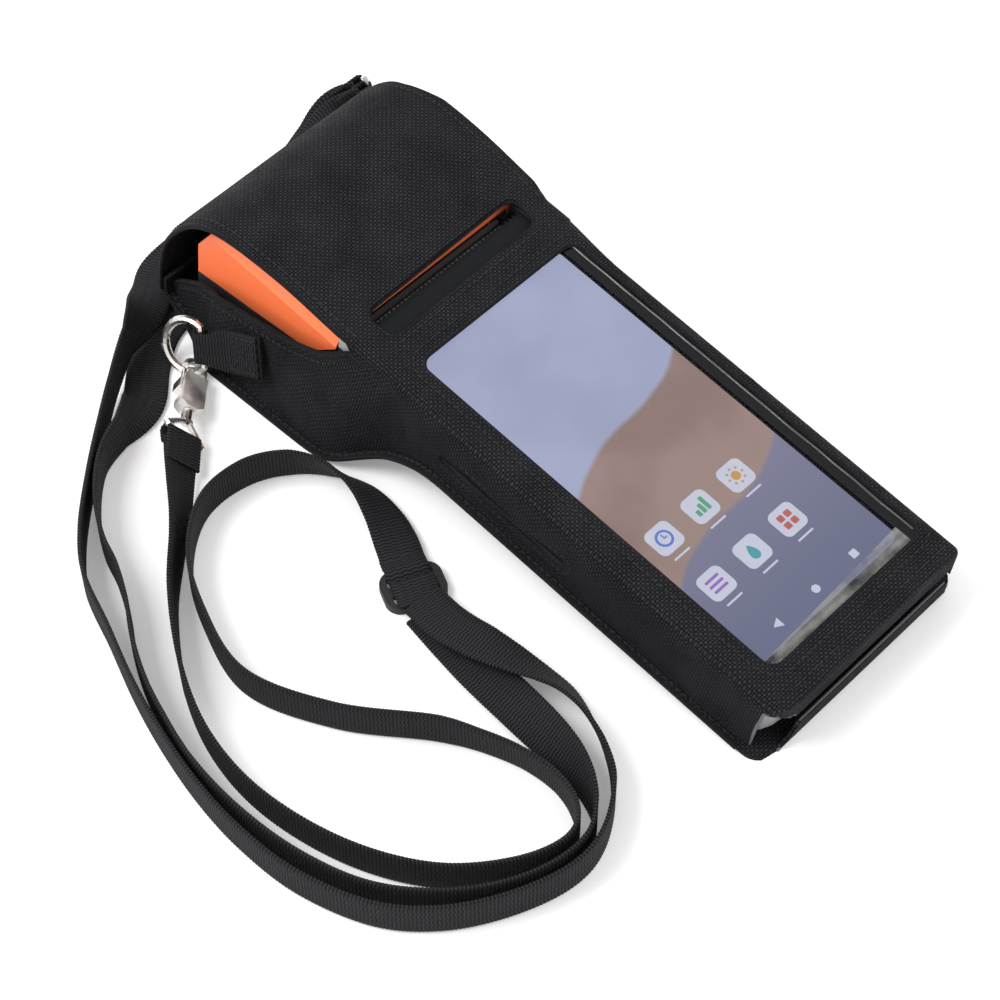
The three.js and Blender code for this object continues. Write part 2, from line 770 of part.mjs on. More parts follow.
function addRearShell() {
  const left = terminal_dx - head_half;
  const right = terminal_dx + head_half;
  const key_wall = terminal_dx - body_half;
  const plan = prismZ(terminalPlan(0), low_reach, 0);
  const body = prismX(shellProfile(), left, right).intersect(plan);
  const slim_y0 = terminal_foot_y + shell_wall;
  const slim = prismZ(roundedRect(2 * (body_half - shell_wall), slim_end_y - slim_y0, corner_r - shell_wall,
    terminal_dx, (slim_end_y + slim_y0) / 2), shell_floor, 0);
  const mech_half = head_half - 2 * shell_wall;
  const mech_profile = outline([
    [mech_near_y, top_reach], [mech_near_y, mech_floor_z + shell_wall],
    [mech_near_y + shell_wall, mech_floor_z],
    [mech_far_y, mech_floor_z], [mech_far_y, top_reach],
  ]);
  const mech = prismX(mech_profile, terminal_dx - mech_half, terminal_dx + mech_half);
  const bucket_half = roll_w / 2 + 3 * gap;
  const cradle_r = roll_r + gap;
  const cradle = rodX(cradle_r, terminal_dx - bucket_half, terminal_dx + bucket_half, roll_y, roll_z, 40);
  const mouth = block(terminal_dx - bucket_half, terminal_dx + bucket_half, roll_y - cradle_r,
    roll_y + cradle_r, roll_z, top_reach);
  const trough = block(terminal_dx - trough_half, terminal_dx + trough_half, lid_hinge_y - trough_r - 2 * gap,
    terminal_end_y + overrun, lid_hinge_z - trough_r, top_reach);
  const lens_hole = rodZ(lens_r + gap, low_reach, 0, terminal_dx, camera_y);
  const usb_hole = block(terminal_dx - usb_w / 2 - gap, terminal_dx + usb_w / 2 + gap,
    terminal_foot_y - overrun, terminal_foot_y + overrun, usb_z - usb_h / 2 - gap, usb_z + usb_h / 2 + gap);
  let shell = cut(body, slim, mech, cradle, mouth, trough, lens_hole, usb_hole);
  for (let i = 0; i < 3; i += 1) {
    const y = key_first_y - i * key_pitch;
    const half_l = key_l / 2 + gap;
    const half_h = key_h / 2 + gap;
    shell = cut(shell, block(left - overrun, key_wall + 2 * shell_wall, y - half_l, y + half_l,
      key_z - half_h, key_z + half_h));
  }
  for (const x of screwPlaces()) {
    shell = cut(shell, rodZ(screw_r + gap, low_reach, terminal_back + screw_t, x[0], x[1]));
  }
  for (const x0 of hingeLugs()) {
    const lug = rodX(knuckle_r, x0, x0 + lug_t, lid_hinge_y, lid_hinge_z);
    const foot = block(x0, x0 + lug_t, lid_hinge_y - knuckle_r, lid_hinge_y + knuckle_r,
      lid_hinge_z - trough_r - shell_wall / 2, lid_hinge_z);
    shell = join(shell, cut(join(lug, foot), hingeBore(x0 - gap, x0 + lug_t + gap)));
  }
  add('rear_shell', shell, grey_plastic);
}

function hingeLugs() {
  return [-1, 1].map((side) => terminal_dx + side * shell_lug_x - lug_t / 2);
}

function hingeBore(x0, x1) {
  return rodX(hinge_pin_r + gap, x0, x1, lid_hinge_y, lid_hinge_z, 16);
}

function screwPlaces() {
  const places = [];
  for (const side of [-1, 1]) {
    for (const share of screw_y_shares) {
      const reach = share < 0 ? -terminal_foot_y : terminal_end_y / 2;
      places.push([terminal_dx + side * screw_x, share * reach]);
    }
  }
  return places;
}

function addFront() {
  const rim = chamferedPrism(terminalPlan, seam_z, frame_top, rim_chamfer);
  const beyond = block(-reach_x, reach_x, frame_end_y, terminal_end_y + overrun, low_reach, top_reach);
  const notch = block(terminal_dx - deck_half - gap, terminal_dx + deck_half + gap, deck_y - gap,
    terminal_end_y, low_reach, top_reach);
  const glass_l = glass_head_y - glass_foot_y;
  const glass_mid = (glass_head_y + glass_foot_y) / 2;
  const web_top = glass_top - glass_t - gap - panel_t - gap;
  const seat = prismZ(roundedRect(2 * (glass_half + gap), glass_l + 2 * gap, corner_r - 2 * gap,
    terminal_dx, glass_mid), glass_top - glass_t - gap, top_reach);
  const pocket = prismZ(roundedRect(2 * (panel_half + gap), display_l + 4 * gap + panel_t, window_r,
    terminal_dx, display_y), web_top, top_reach);
  const well = prismZ(roundedRect(2 * (body_half - shell_wall), glass_l - 2 * shell_wall, corner_r - shell_wall,
    terminal_dx, glass_mid), low_reach, web_top - web_t);
  add('front_frame', cut(rim, beyond, notch, seat, pocket, well), grey_plastic);
  add('display_glass', prismZ(roundedRect(2 * glass_half, glass_l, corner_r - 2 * gap, terminal_dx, glass_mid),
    glass_top - glass_t, glass_top), glass);
  const panel_top = glass_top - glass_t - gap;
  add('display_panel', prismZ(roundedRect(2 * panel_half, display_l + panel_t, window_r, terminal_dx, display_y),
    panel_top - panel_t, panel_top), screen);
}

// The printer lid: faceted top, end and sides, open below and hinged at the far end
function lidForm(inset, drop) {
  const half = head_half - inset;
  const near = lid_near_y + inset;
  const top = lid_top_z - inset;
  const fall = (lid_end_y - lid_crest_y) / (lid_top_z - lid_end_z);
  const side = prismX(outline([
    [near, lid_tip_z - drop], [near, top - lid_near_chamfer + inset / 2], [near + lid_near_chamfer, top],
    [lid_crest_y - inset / 2, top], [lid_end_y - inset + fall * drop, lid_end_z - drop],
    [lid_heel_y, lid_heel_z - drop],
  ]), terminal_dx - half, terminal_dx + half);
  const section = prismY(outline([
    [-half, low_reach], [half, low_reach], [half, lid_chamfer_z], [half - lid_chamfer_w + inset / 3, top],
    [-half + lid_chamfer_w - inset / 3, top], [-half, lid_chamfer_z],
  ].map(([x, z]) => [x + terminal_dx, z])), lid_near_y - overrun, terminal_end_y + overrun);
  return side.intersect(section).intersect(prismZ(terminalPlan(inset), low_reach, top_reach));
}

function addLid() {
  const outer = lidForm(0, 0);
  const inner = lidForm(lid_t, overrun);
  const mouth_half = gear_x + gear_w + 3 * gap;
  const mouth = block(terminal_dx - mouth_half, terminal_dx + mouth_half, lid_near_y - overrun,
    lid_near_y + overrun, low_reach, lid_top_z - lid_near_drop);
  let lid = cut(outer, inner, mouth);
  const barrel_x0 = terminal_dx - barrel_half;
  const barrel_x1 = terminal_dx + barrel_half;
  const web = prismX(outline([
    [lid_hinge_y - knuckle_r, lid_hinge_z], [lid_hinge_y + knuckle_r, lid_hinge_z],
    [lid_end_y, lid_end_z], [lid_end_y, lid_end_z + knuckle_r],
    [lid_hinge_y - knuckle_r, lid_end_z + knuckle_r],
  ]), barrel_x0, barrel_x1).intersect(lidForm(lid_t / 2, overrun));
  const barrel = join(web, rodX(knuckle_r, barrel_x0, barrel_x1, lid_hinge_y, lid_hinge_z));
  const slots = hingeLugs().map((x0) => block(x0 - gap, x0 + lug_t + gap, lid_hinge_y - 2 * knuckle_r,
    lid_hinge_y + 2 * knuckle_r, low_reach, lid_hinge_z + knuckle_r + gap));
  lid = cut(join(lid, barrel), hingeBore(barrel_x0 - gap, barrel_x1 + gap), ...slots);
  for (const side of [-1, 1]) {
    const a0 = terminal_dx + side * (arm_x + arm_t / 2) - arm_t / 2;
    const cheek = prismX(outline([
      [platen_y - arm_r, platen_z - arm_r / 3], [platen_y - arm_r / 2, platen_z - arm_r],
      [platen_y + arm_r / 2, platen_z - arm_r], [platen_y + arm_r, platen_z],
      [platen_y + 3 * arm_r, lid_top_z - lid_t / 2], [platen_y - arm_r / 2, lid_top_z - lid_t / 2],
    ]), a0, a0 + arm_t).intersect(lidForm(lid_t / 2, overrun));
    lid = join(lid, cut(cheek, rodX(shaft_r + gap, a0 - gap, a0 + arm_t + gap, platen_y, platen_z)));
  }
  add('printer_lid', lid, orange_plastic);
  add('lid_hinge_pin', rodX(hinge_pin_r, terminal_dx - hinge_pin_l / 2, terminal_dx + hinge_pin_l / 2,
    lid_hinge_y, lid_hinge_z, 16), steel);
}

// Spur gear on X with straight-sided teeth, as shares of the tooth pitch and depth
const tooth_shares = [[0, -1.15], [0.14, -1.15], [0.36, 1], [0.64, 1], [0.86, -1.15]];

function gear(teeth, y, z, phase) {
  const pitch_r = gear_module * teeth / 2;
  const points = [];
  for (let i = 0; i < teeth; i += 1) {
    for (const [along, out] of tooth_shares) {
      const turn = phase + (i + along) / teeth * Math.PI * 2;
      const radius = pitch_r + out * gear_module * (out > 0 ? 0.95 : 1);
      points.push([y + radius * Math.cos(turn), z + radius * Math.sin(turn)]);
    }
  }
  return prismX(outline(points), terminal_dx + gear_x, terminal_dx + gear_x + gear_w);
}

// A tooth of the driver meets a space of the follower along the line of centres
function toothPhase(teeth, angle, on_tooth) {
  const step = Math.PI * 2 / teeth;
  return angle - (on_tooth ? 0.5 : 0) * step;
}

function addPrinter() {
  const x = terminal_dx;
  add('paper_roll', cut(rodX(roll_r, x - roll_w / 2, x + roll_w / 2, roll_y, roll_z, 40),
    rodX(core_r + gap, x - roll_w, x + roll_w, roll_y, roll_z, 24)), paper);
  add('paper_core', cut(rodX(core_r, x - roll_w / 2, x + roll_w / 2, roll_y, roll_z, 24),
    rodX(core_bore_r, x - roll_w, x + roll_w, roll_y, roll_z, 24)), white_plastic);
  const shaft_end = gear_x + gear_w + gap;
  add('platen_shaft', rodX(shaft_r, x - cheek_x - cheek_t, x + shaft_end, platen_y, platen_z, 16), steel);
  add('platen_rubber', cut(rodX(platen_r, x - platen_w / 2, x + platen_w / 2, platen_y, platen_z, 24),
    rodX(shaft_r + gap, x - platen_w, x + platen_w, platen_y, platen_z, 16)), rubber);
  add('platen_gear', cut(gear(platen_teeth, platen_y, platen_z, toothPhase(platen_teeth, idler_angle, true)),
    rodX(shaft_r + gap, x, x + overrun * gear_x, platen_y, platen_z, 16)), white_plastic);
  const idler_phase = toothPhase(idler_teeth, idler_angle + Math.PI, false);
  add('idler_gear', cut(gear(idler_teeth, idler_y, idler_z, idler_phase),
    rodX(idler_pin_r + gap, x, x + overrun * gear_x, idler_y, idler_z, 16)), white_plastic);
  const idler_step = Math.PI * 2 / idler_teeth;
  const off_step = (pinion_angle - idler_phase) / idler_step;
  const off = (off_step - Math.floor(off_step)) * idler_teeth / idler_teeth;
  const pinion_step = Math.PI * 2 / pinion_teeth;
  const pinion_phase = pinion_angle + Math.PI - (0.5 - off) * pinion_step;
  const pinion = gear(pinion_teeth, pinion_y, pinion_z, pinion_phase);
  add('motor_pinion', join(pinion, rodX(motor_shaft_r, x + cheek_x - cheek_t / 2, x + gear_x + gear_w / 2,
    pinion_y, pinion_z, 12)), steel);
  const motor_x1 = x + cheek_x - cheek_t / 2 - gap;
  add('feed_motor', rodX(motor_r, motor_x1 - motor_l, motor_x1, pinion_y, pinion_z, 24), steel);
  const pin_x = x + cheek_x + cheek_t / 2 + gap;
  add('idler_pin', rodX(idler_pin_r, pin_x, x + shaft_end, idler_y, idler_z, 12), steel);
  addPrintFrame();
}

function addPrintFrame() {
  const x = terminal_dx;
  const base_z = mech_floor_z + gap;
  const near = mech_near_y + 2 * shell_wall;
  const far = mech_far_y - shell_wall;
  let frame = block(x - cheek_x, x + cheek_x, near, far, base_z, base_z + cheek_t);
  for (const side of [-1, 1]) {
    const x0 = x + side * cheek_x - cheek_t / 2;
    const cheek = prismX(outline([
      [near, base_z], [far, base_z], [far, lid_heel_z], [platen_y + arm_r, platen_z + shaft_r],
      [platen_y - arm_r, platen_z + shaft_r], [near + arm_r, lid_heel_z],
    ]), x0, x0 + cheek_t);
    frame = join(frame, cheek);
  }
  const notch_z = platen_z - shaft_r - gap;
  const notch_y = platen_y + shaft_r + 2 * gap;
  const notch = prismX(outline([
    [platen_y - shaft_r - gap, notch_z], [notch_y, notch_z], [notch_y - notch_z * notch_lean, 0],
    [platen_y - shaft_r - gap, 0],
  ]), x - gear_x, x + gear_x);
  const shaft_hole = rodX(motor_shaft_r + gap, x + cheek_x - cheek_t, x + gear_x, pinion_y, pinion_z, 12);
  add('printer_chassis', cut(frame, notch, shaft_hole), dark_plastic);
  const head_y = platen_y - platen_r - gap;
  const head_half_w = cheek_x - cheek_t / 2 - gap;
  add('thermal_head', block(x - head_half_w, x + head_half_w, head_y - head_plate_t, head_y,
    platen_z - head_plate_h / 2, platen_z + head_plate_h / 2), steel);
  const holder_y = head_y - head_plate_t - gap;
  add('head_bracket', join(
    block(x - head_half_w, x + head_half_w, holder_y - head_plate_t, holder_y,
      base_z + cheek_t + gap, platen_z + head_plate_h / 3),
  ).subtract(rodX(motor_r + gap, x, x + head_half_w + gap, pinion_y, pinion_z, 24)), dark_plastic);
}

// The strip before the paper slot, with its saw-tooth tearing edge
function addDeck() {
  const half = deck_half;
  const teeth = Math.floor(2 * half / tooth_pitch);
  const pitch = 2 * half / teeth;
  const edge = [];
  for (let i = 0; i < teeth; i += 1) {
    edge.push([-half + i * pitch, deck_edge_y - tooth_depth]);
    edge.push([-half + (i + 0.5) * pitch, deck_edge_y]);
  }
  edge.push([half, deck_edge_y - tooth_depth]);
  const plan = outline([...edge, [half, deck_y], [-half, deck_y]].map(([x, y]) => [x + terminal_dx, y]));
  const profile = outline([
    [deck_y, glass_top], [deck_edge_y - 2 * tooth_depth, glass_top], [deck_edge_y, glass_top - deck_t / 2],
    [deck_edge_y, glass_top - deck_t], [deck_y, glass_top - deck_t],
  ]);
  add('tear_deck', prismX(profile, terminal_dx - half, terminal_dx + half)
    .intersect(prismZ(plan, glass_top - deck_t, glass_top)), dark_plastic);
}

function addInner() {
  const x = terminal_dx;
  const floor = shell_floor + gap;
  add('main_board', prismZ(roundedRect(board_w, board_l, 2 * shell_wall, x, board_y), floor, floor + board_t),
    circuit_green);
  add('battery_pack', prismZ(roundedRect(battery_w, battery_l, shell_wall, x - camera_size / 2, battery_y),
    floor + board_t + gap, floor + board_t + gap + battery_t), cell_grey);
  add('speaker', rodZ(speaker_r, floor, floor + speaker_t, x + speaker_x, speaker_y), dark_plastic);
  add('camera_module', block(x - camera_size / 2, x + camera_size / 2, camera_y - camera_size / 2,
    camera_y + camera_size / 2, floor, floor + camera_t), dark_plastic);
  add('camera_lens', rodZ(lens_r, terminal_back + gap, terminal_back + gap + lens_t, x, camera_y), glass);
  const usb_y = terminal_foot_y + gap;
  const usb = block(x - usb_w / 2, x + usb_w / 2, usb_y, usb_y + usb_l, usb_z - usb_h / 2, usb_z + usb_h / 2);
  const usb_mouth = block(x - usb_w / 2 + gap, x + usb_w / 2 - gap, usb_y - overrun, usb_y + usb_l - 2 * gap,
    usb_z - usb_h / 2 + gap, usb_z + usb_h / 2 - gap);
  add('usb_socket', cut(usb, usb_mouth), steel);
  const names = ['key_volume_up', 'key_volume_down', 'key_power'];
  const wall_x = x - body_half;
  names.forEach((name, i) => {
    const y = key_first_y - i * key_pitch;
    const cap = block(wall_x - key_proud, wall_x + shell_wall + gap, y - key_l / 2, y + key_l / 2,
      key_z - key_h / 2, key_z + key_h / 2);
    const flange_x = wall_x + shell_wall + gap;
    const flange_l = key_l / 2 + key_flange;
    const flange_h = key_h / 2 + key_flange;
    const flange = block(flange_x, flange_x + key_flange_t, y - flange_l, y + flange_l,
      key_z - flange_h, key_z + flange_h);
    add(name, join(cap, flange), dark_plastic);
  });
  const strip_x = wall_x + shell_wall + gap + key_flange_t + key_travel + gap;
  const strip_y = key_first_y - key_pitch;
  add('key_switch_strip', block(strip_x, strip_x + switch_t, strip_y - key_pitch - key_l / 2,
    strip_y + key_pitch + key_l / 2, floor + board_t + gap, key_z + key_h / 2 + key_flange), circuit_green);
  screwPlaces().forEach(([sx, sy], i) => {
    const head = rodZ(screw_r, terminal_back + gap, terminal_back + screw_t - gap, sx, sy, 16);
    add(`shell_screw_${i + 1}`, head, steel);
  });
}

// Ring frame on one side: along the bar, out of the bar in the ring's plane, and the plane's normal
function ringFrame(side) {
  const normal = new THREE.Vector3(...ring_normal).normalize();
  const bar = new THREE.Vector3(...ring_bar_way);
  bar.addScaledVector(normal, -bar.dot(normal)).normalize();
  const out = bar.clone().cross(normal);
  if (out.y < 0) out.negate();
  const centre = new THREE.Vector3(-ring_x, ring_y, ring_z);
  if (side > 0) {
    for (const vector of [normal, bar, out, centre]) vector.x *= -1;
  }
  return { normal, bar, out, centre };
}

function ringPoint(frame, angle) {
  const rise = Math.sqrt(ring_r * ring_r - ring_bar * ring_bar / 4);
  return frame.centre.clone().addScaledVector(frame.bar, ring_r * Math.cos(angle))
    .addScaledVector(frame.out, rise + ring_r * Math.sin(angle));
}

function ringPath(frame) {
  const start = -Math.asin(Math.sqrt(ring_r * ring_r - ring_bar * ring_bar / 4) / ring_r);
  const sweep = Math.PI - 2 * start;
  const steps = 20;
  const points = [];
  for (let i = 0; i <= steps; i += 1) points.push(ringPoint(frame, start + sweep * i / steps));
  const from = points[points.length - 1];
  for (const share of [0.25, 0.5, 0.75]) points.push(from.clone().lerp(points[0], share));
  return points;
}

function inFrame(origin, u, v, w) {
  return new THREE.Matrix4().makeBasis(u, v, w).setPosition(origin);
}

// Webbing tab: a strip sewn to the case wall, with its fold round the ring's bar
function tabSolid(side) {
  const frame = ringFrame(side);
  const lean = Math.atan(hump_flare / -floorLine(hump_y));
  const face = new THREE.Vector3(side * Math.cos(lean), 0, Math.sin(lean));
  const anchor_back = new THREE.Vector3(-side * tab_way[0], tab_way[1], tab_way[2]).setLength(tab_l);
  const across = frame.bar.clone();
  const along = anchor_back.clone().negate();
  along.addScaledVector(across, -along.dot(across)).normalize();
  const up = along.clone().cross(across).normalize();
  if (up.dot(face) < 0) up.negate();
  const right_handed = along.clone().cross(across).dot(up) > 0;
  const first = right_handed ? across : across.clone().negate();
  const placed = inFrame(frame.centre, along, first, up);
  const wide = tab_w / 2;
  const narrow = tab_fold_w / 2;
  const strip = prismZ(outline([
    [-tab_l, -wide], [-tab_eye_r - tab_taper, -wide], [-tab_eye_r / 2, -narrow],
    [-tab_eye_r / 2, narrow], [-tab_eye_r - tab_taper, wide], [-tab_l, wide],
  ]), -tab_back - tab_t / 2, -tab_back + tab_t / 2);
  const fold = new THREE.CylinderGeometry(tab_eye_r, tab_eye_r, tab_fold_w, 20);
  const bore = new THREE.CylinderGeometry(ring_wire_r + gap, ring_wire_r + gap, tab_w + overrun, 16);
  return toSolidPlaced(cut(join(strip, toSolid(fold)), toSolid(bore)), placed);
}

function toSolidPlaced(solid, matrix) {
  return toSolid(toGeometry(solid).applyMatrix4(matrix));
}

function addRings() {
  for (const [side, name] of [[-1, 'left'], [1, 'right']]) {
    const frame = ringFrame(side);
    add(`ring_tab_${name}`, tabSolid(side), black_webbing);
    add(`d_ring_${name}`, toSolid(wire(ringPath(frame), ring_wire_r, frame.normal, true)), nickel);
  }
}

// Rest frame: the same X, Y along the floor and Z up from the floor
function toRest(point) {
  const lift = new THREE.Vector3(0, 0, rest_lift);
  return point.clone().applyAxisAngle(new THREE.Vector3(1, 0, 0), rest_tilt).add(lift);
}

// Snap hook on a ring: hook and barrel, its spring bolt, and the swivel eye that holds the strap
function hookFrame({ side, angle, target, twist, lean }) {
  const frame = ringFrame(side);
  const origin = toRest(ringPoint(frame, angle));
  const tangent = toRest(ringPoint(frame, angle + small_turn)).sub(origin).normalize();
  origin.z += hook_play;
  const axis = new THREE.Vector3(...target).sub(origin).normalize();
  tangent.addScaledVector(axis, -tangent.dot(axis)).normalize().applyAxisAngle(axis, twist);
  const across = tangent.clone().cross(axis).normalize();
  const sideways = axis.clone().cross(new THREE.Vector3(0, 0, 1)).normalize();
  const lift = sideways.clone().cross(axis).normalize();
  const width = lift.multiplyScalar(Math.cos(lean)).addScaledVector(sideways, Math.sin(lean));
  const roll = Math.atan2(width.dot(tangent), width.dot(across));
  return { roll, matrix: inFrame(origin, axis, across, tangent) };
}

const hook_tip_share = 0.55;

function hookBody() {
  const points = [];
  const tip = new THREE.Vector3(hook_r * hook_tip_share, hook_r, 0);
  points.push(tip);
  for (let i = 0; i <= 8; i += 1) {
    const turn = Math.PI / 2 + Math.PI * i / 8;
    points.push(new THREE.Vector3(hook_r * Math.cos(turn), hook_r * Math.sin(turn), 0));
  }
  points.push(new THREE.Vector3(barrel_start + hook_wire_r, -hook_r, 0));
  const hook = toSolid(wire(points, hook_wire_r, new THREE.Vector3(0, 0, 1), false));
  const h = barrel_h / 2;
  const end = barrel_start + barrel_l;
  const barrel = prismZ(outline([
    [barrel_start, -h], [barrel_start, h - hook_wire_r / 2], [barrel_start + hook_wire_r, h],
    [end - hook_r / 2, h],
    [end, h / 2], [end, -h / 2], [end - hook_r / 2, -h],
  ]), -barrel_w / 2, barrel_w / 2);
  const window_x = barrel_start + 2 * hook_wire_r;
  const pocket = block(window_x, window_x + window_cut_l, hook_r - window_cut_w / 2, h + overrun,
    -barrel_w / 4, barrel_w / 2 + overrun);
  const bore = rodX(bolt_r + gap, barrel_start - overrun, window_x + gap, hook_r, 0, 12);
  const swivel_bore = rodX(motor_shaft_r + gap, end - swivel_l, end + overrun, 0, 0, 12);
  return cut(join(hook, barrel), pocket, bore, swivel_bore);
}

function hookBolt() {
  const window_x = barrel_start + 2 * hook_wire_r + gap;
  const pin_start = hook_r * hook_tip_share + gap;
  const pin = rodX(bolt_r, pin_start, window_x + gap, hook_r, 0, 12);
  const thumb_y = hook_r - window_cut_w / 2 + gap;
  const thumb = block(window_x, window_x + bolt_block_l, thumb_y, barrel_h / 2 + bolt_r,
    -barrel_w / 4 + gap, barrel_w / 2 + bolt_r);
  return join(pin, thumb);
}

// The eye turns on its stem in the barrel's end; its bar is set across by the roll
const eye_shares = [0.08, 0.36, 0.64, 0.92];

function hookEye(roll) {
  const end = barrel_start + barrel_l;
  const stem = rodX(motor_shaft_r, end - swivel_l + gap, end + swivel_l, 0, 0, 12);
  const knuckle = rodX(swivel_r, end + gap, end + swivel_l, 0, 0, 12);
  const half = strap_w / 2 + eye_wire_r + 2 * gap;
  const base = end + swivel_l - gap;
  const corners = [[base, -swivel_r / 2], [base, swivel_r / 2], [base + eye_l, half], [base + eye_l, -half]];
  const points = [];
  corners.forEach(([a, b], i) => {
    const [c, d] = corners[(i + 1) % corners.length];
    for (const share of eye_shares) {
      points.push(new THREE.Vector3(a + (c - a) * share, b + (d - b) * share, 0));
    }
  });
  const loop = toSolid(wire(points, eye_wire_r, new THREE.Vector3(0, 0, 1), true));
  const body = join(stem, knuckle, loop);
  return toSolid(toGeometry(body).rotateX(roll));
}

// Where each hook sits on its ring, the point that its eye is drawn towards, and how it lies
const small_turn = 0.02;
const hook_play = 0.6;
const hooks = [
  { name: 'left', side: -1, angle: -0.2, target: [-92.3, 128, 9.6], twist: 0.48, lean: 0.7 },
  { name: 'right', side: 1, angle: 2.05, target: [63.5, 200.7, 9.4], twist: 0, lean: 0 },
];

function addHooks() {
  for (const hook of hooks) {
    const { roll, matrix } = hookFrame(hook);
    addCord(`hook_body_${hook.name}`, toSolidPlaced(hookBody(), matrix), nickel);
    addCord(`hook_bolt_${hook.name}`, toSolidPlaced(hookBolt(), matrix), nickel);
    addCord(`hook_eye_${hook.name}`, toSolidPlaced(hookEye(roll), matrix), nickel);
  }
}

// Strap routes, chosen by hand: X, Y, height of the middle and lean of the width in degrees
const strap_first = [
  [-91.4, 130.2, 8.6, 43], [-97, 124.4, 8.2, 37], [-103, 117.9, 8, 30], [-112.5, 107.5, 8, 20],
  [-119.5, 101, 7.9, 12], [-135, 86, 7.9, 5], [-153, 61, 7.9, 0], [-163, 37.5, 7.9, 0], [-166, 12, 7.9, 0],
  [-160, -20, 7.9, 0], [-147, -44.5, 7.9, 0],
  [-130.5, -59, 7.9, 0], [-118.5, -64.5, 7.9, 0], [-111.5, -65, 7.9, 0], [-106, -62.5, 7.9, 0],
  [-102, -57, 7.9, 0], [-99.5, -47.5, 7.9, -4], [-100.5, -34.5, 7.9, -6], [-105, -20.5, 7.9, -5],
  [-110.5, -9, 7.9, 0], [-129.5, 18, 7.9, 0], [-140, 47.5, 7.9, 0], [-133, 73, 7.9, 0], [-121, 93.5, 7.9, 0],
  [-102.5, 106.5, 7.9, 0], [-84.5, 106.5, 7.9, 0], [-71.5, 99, 7.9, 5], [-64.5, 88, 7.9, 20],
  [-62, 75, 6.8, 45], [-64, 63, 4.9, 65], [-68, 53, 3.2, 85], [-72.35, 44.85, 2.6, 90],
];
const strap_upper = [
  [-78.6, 30.8, 4.3, 90], [-80.3, 16.5, 6.6, 90], [-79.3, 4, 8.6, 84], [-77, -8, 9, 66], [-74.6, -18, 8.5, 48],
  [-73.5, -27, 8.2, 36], [-75.5, -38, 7.9, 20], [-80.5, -50, 7.9, 8], [-87.5, -60, 7.9, 0],
  [-95.5, -66.5, 7.9, 0], [-104, -71, 7.9, 0], [-112.5, -73, 7.9, 0], [-123.5, -72, 7.9, 0],
  [-141.5, -65, 7.9, 0], [-157, -54.5, 7.9, 0], [-169, -40, 7.9, 0], [-177.5, -15.5, 7.9, 0],
  [-179, 8.5, 7.9, 0], [-177, 28.5, 7.9, 0], [-172.5, 49, 7.9, 0], [-166.5, 68.5, 7.9, 0], [-158, 90, 7.9, 0],
  [-149.5, 111.5, 7.9, 0], [-139.5, 124.5, 7.9, 0], [-122, 140.5, 7.9, 0], [-106.5, 153, 7.9, 0],
  [-90, 165.2, 8.8, 0], [-75, 174.6, 10.6, -4], [-65.5, 179.6, 9.4, -35], [-58, 184.4, 6.8, -65],
  [-50.5, 190, 4, -86], [-42, 196.5, 2, -90], [-30, 199, 1.2, -90], [-4, 199, 1.2, -90], [24, 199.5, 1.2, -90],
  [41, 203.5, 2.4, -84], [52, 205.4, 5.4, -52], [62.4, 202.7, 8.6, 0],
];
const strap_lower = [
  [-79.9, 28.2, 1.5, -88], [-83, 11, 3, -80], [-85, -1.5, 4.2, -72], [-87, -20.5, 5.4, -62],
  [-89, -36, 6.6, -46], [-91.3, -47.5, 7.5, -28], [-95, -57, 7.9, -12], [-100, -64, 7.9, 0],
  [-107, -68.3, 7.9, 0], [-114.5, -69.3, 7.9, 0], [-125.5, -67.5, 7.9, 0], [-139, -61.5, 7.9, 0],
  [-153, -50.5, 7.9, 0], [-165.5, -33.5, 7.9, 0], [-172.5, -11, 7.9, 0], [-174.5, 13.5, 7.9, 0],
  [-172.5, 36, 7.9, 0], [-167.5, 54.5, 7.9, 0], [-163, 67, 7.9, 0], [-155.5, 81.5, 7.9, 0], [-147, 94, 7.9, 0],
  [-140.5, 106, 7.9, 0], [-136, 117.5, 7.9, 0], [-127, 131.5, 7.9, 0], [-113.5, 144, 7.9, 0],
  [-101, 149, 7.7, -10], [-92, 152.2, 6.2, -42], [-84, 157.2, 2.6, -80], [-74, 166.6, 1, -90],
  [-61.5, 175.4, 1, -90], [-46, 179.5, 1, -90], [-28, 181.5, 1.6, -90], [-12, 187, 3.2, -90],
  [6, 193.5, 3.2, -90], [26, 197.5, 3.2, -90], [40, 200.8, 4.4, -80], [50.5, 200.8, 7, -44], [60.5, 199, 9.1, 0],
];

// Woven strap along its route: a flat section with eased corners
const strap_section_shares = [
  [-1, 0.4], [-0.94, 1], [0.94, 1], [1, 0.4], [1, -0.4], [0.94, -1], [-0.94, -1], [-1, -0.4],
];

function strapSolid(route, steps) {
  const places = route.map(([x, y, z]) => new THREE.Vector3(x, y, z));
  const curve = new THREE.CatmullRomCurve3(places, false, 'centripetal');
  const up = new THREE.Vector3(0, 0, 1);
  const rings = [];
  for (let i = 0; i <= steps; i += 1) {
    const t = i / steps;
    const point = curve.getPoint(t);
    const tangent = curve.getTangent(t);
    const side = tangent.clone().cross(up).normalize();
    const place = t * (route.length - 1);
    const row = Math.min(Math.floor(place), route.length - 2);
    const turn = THREE.MathUtils.lerp(route[row][3], route[row + 1][3], place - row);
    const lean = THREE.MathUtils.degToRad(turn);
    const lift = side.clone().cross(tangent).normalize();
    const width = lift.multiplyScalar(Math.cos(lean)).addScaledVector(side, Math.sin(lean));
    const thick = width.clone().cross(tangent).normalize();
    rings.push(strap_section_shares.map(([a, b]) => point.clone()
      .addScaledVector(width, a * strap_w / 2).addScaledVector(thick, b * strap_t / 2)));
  }
  return toSolid(skin(rings));
}

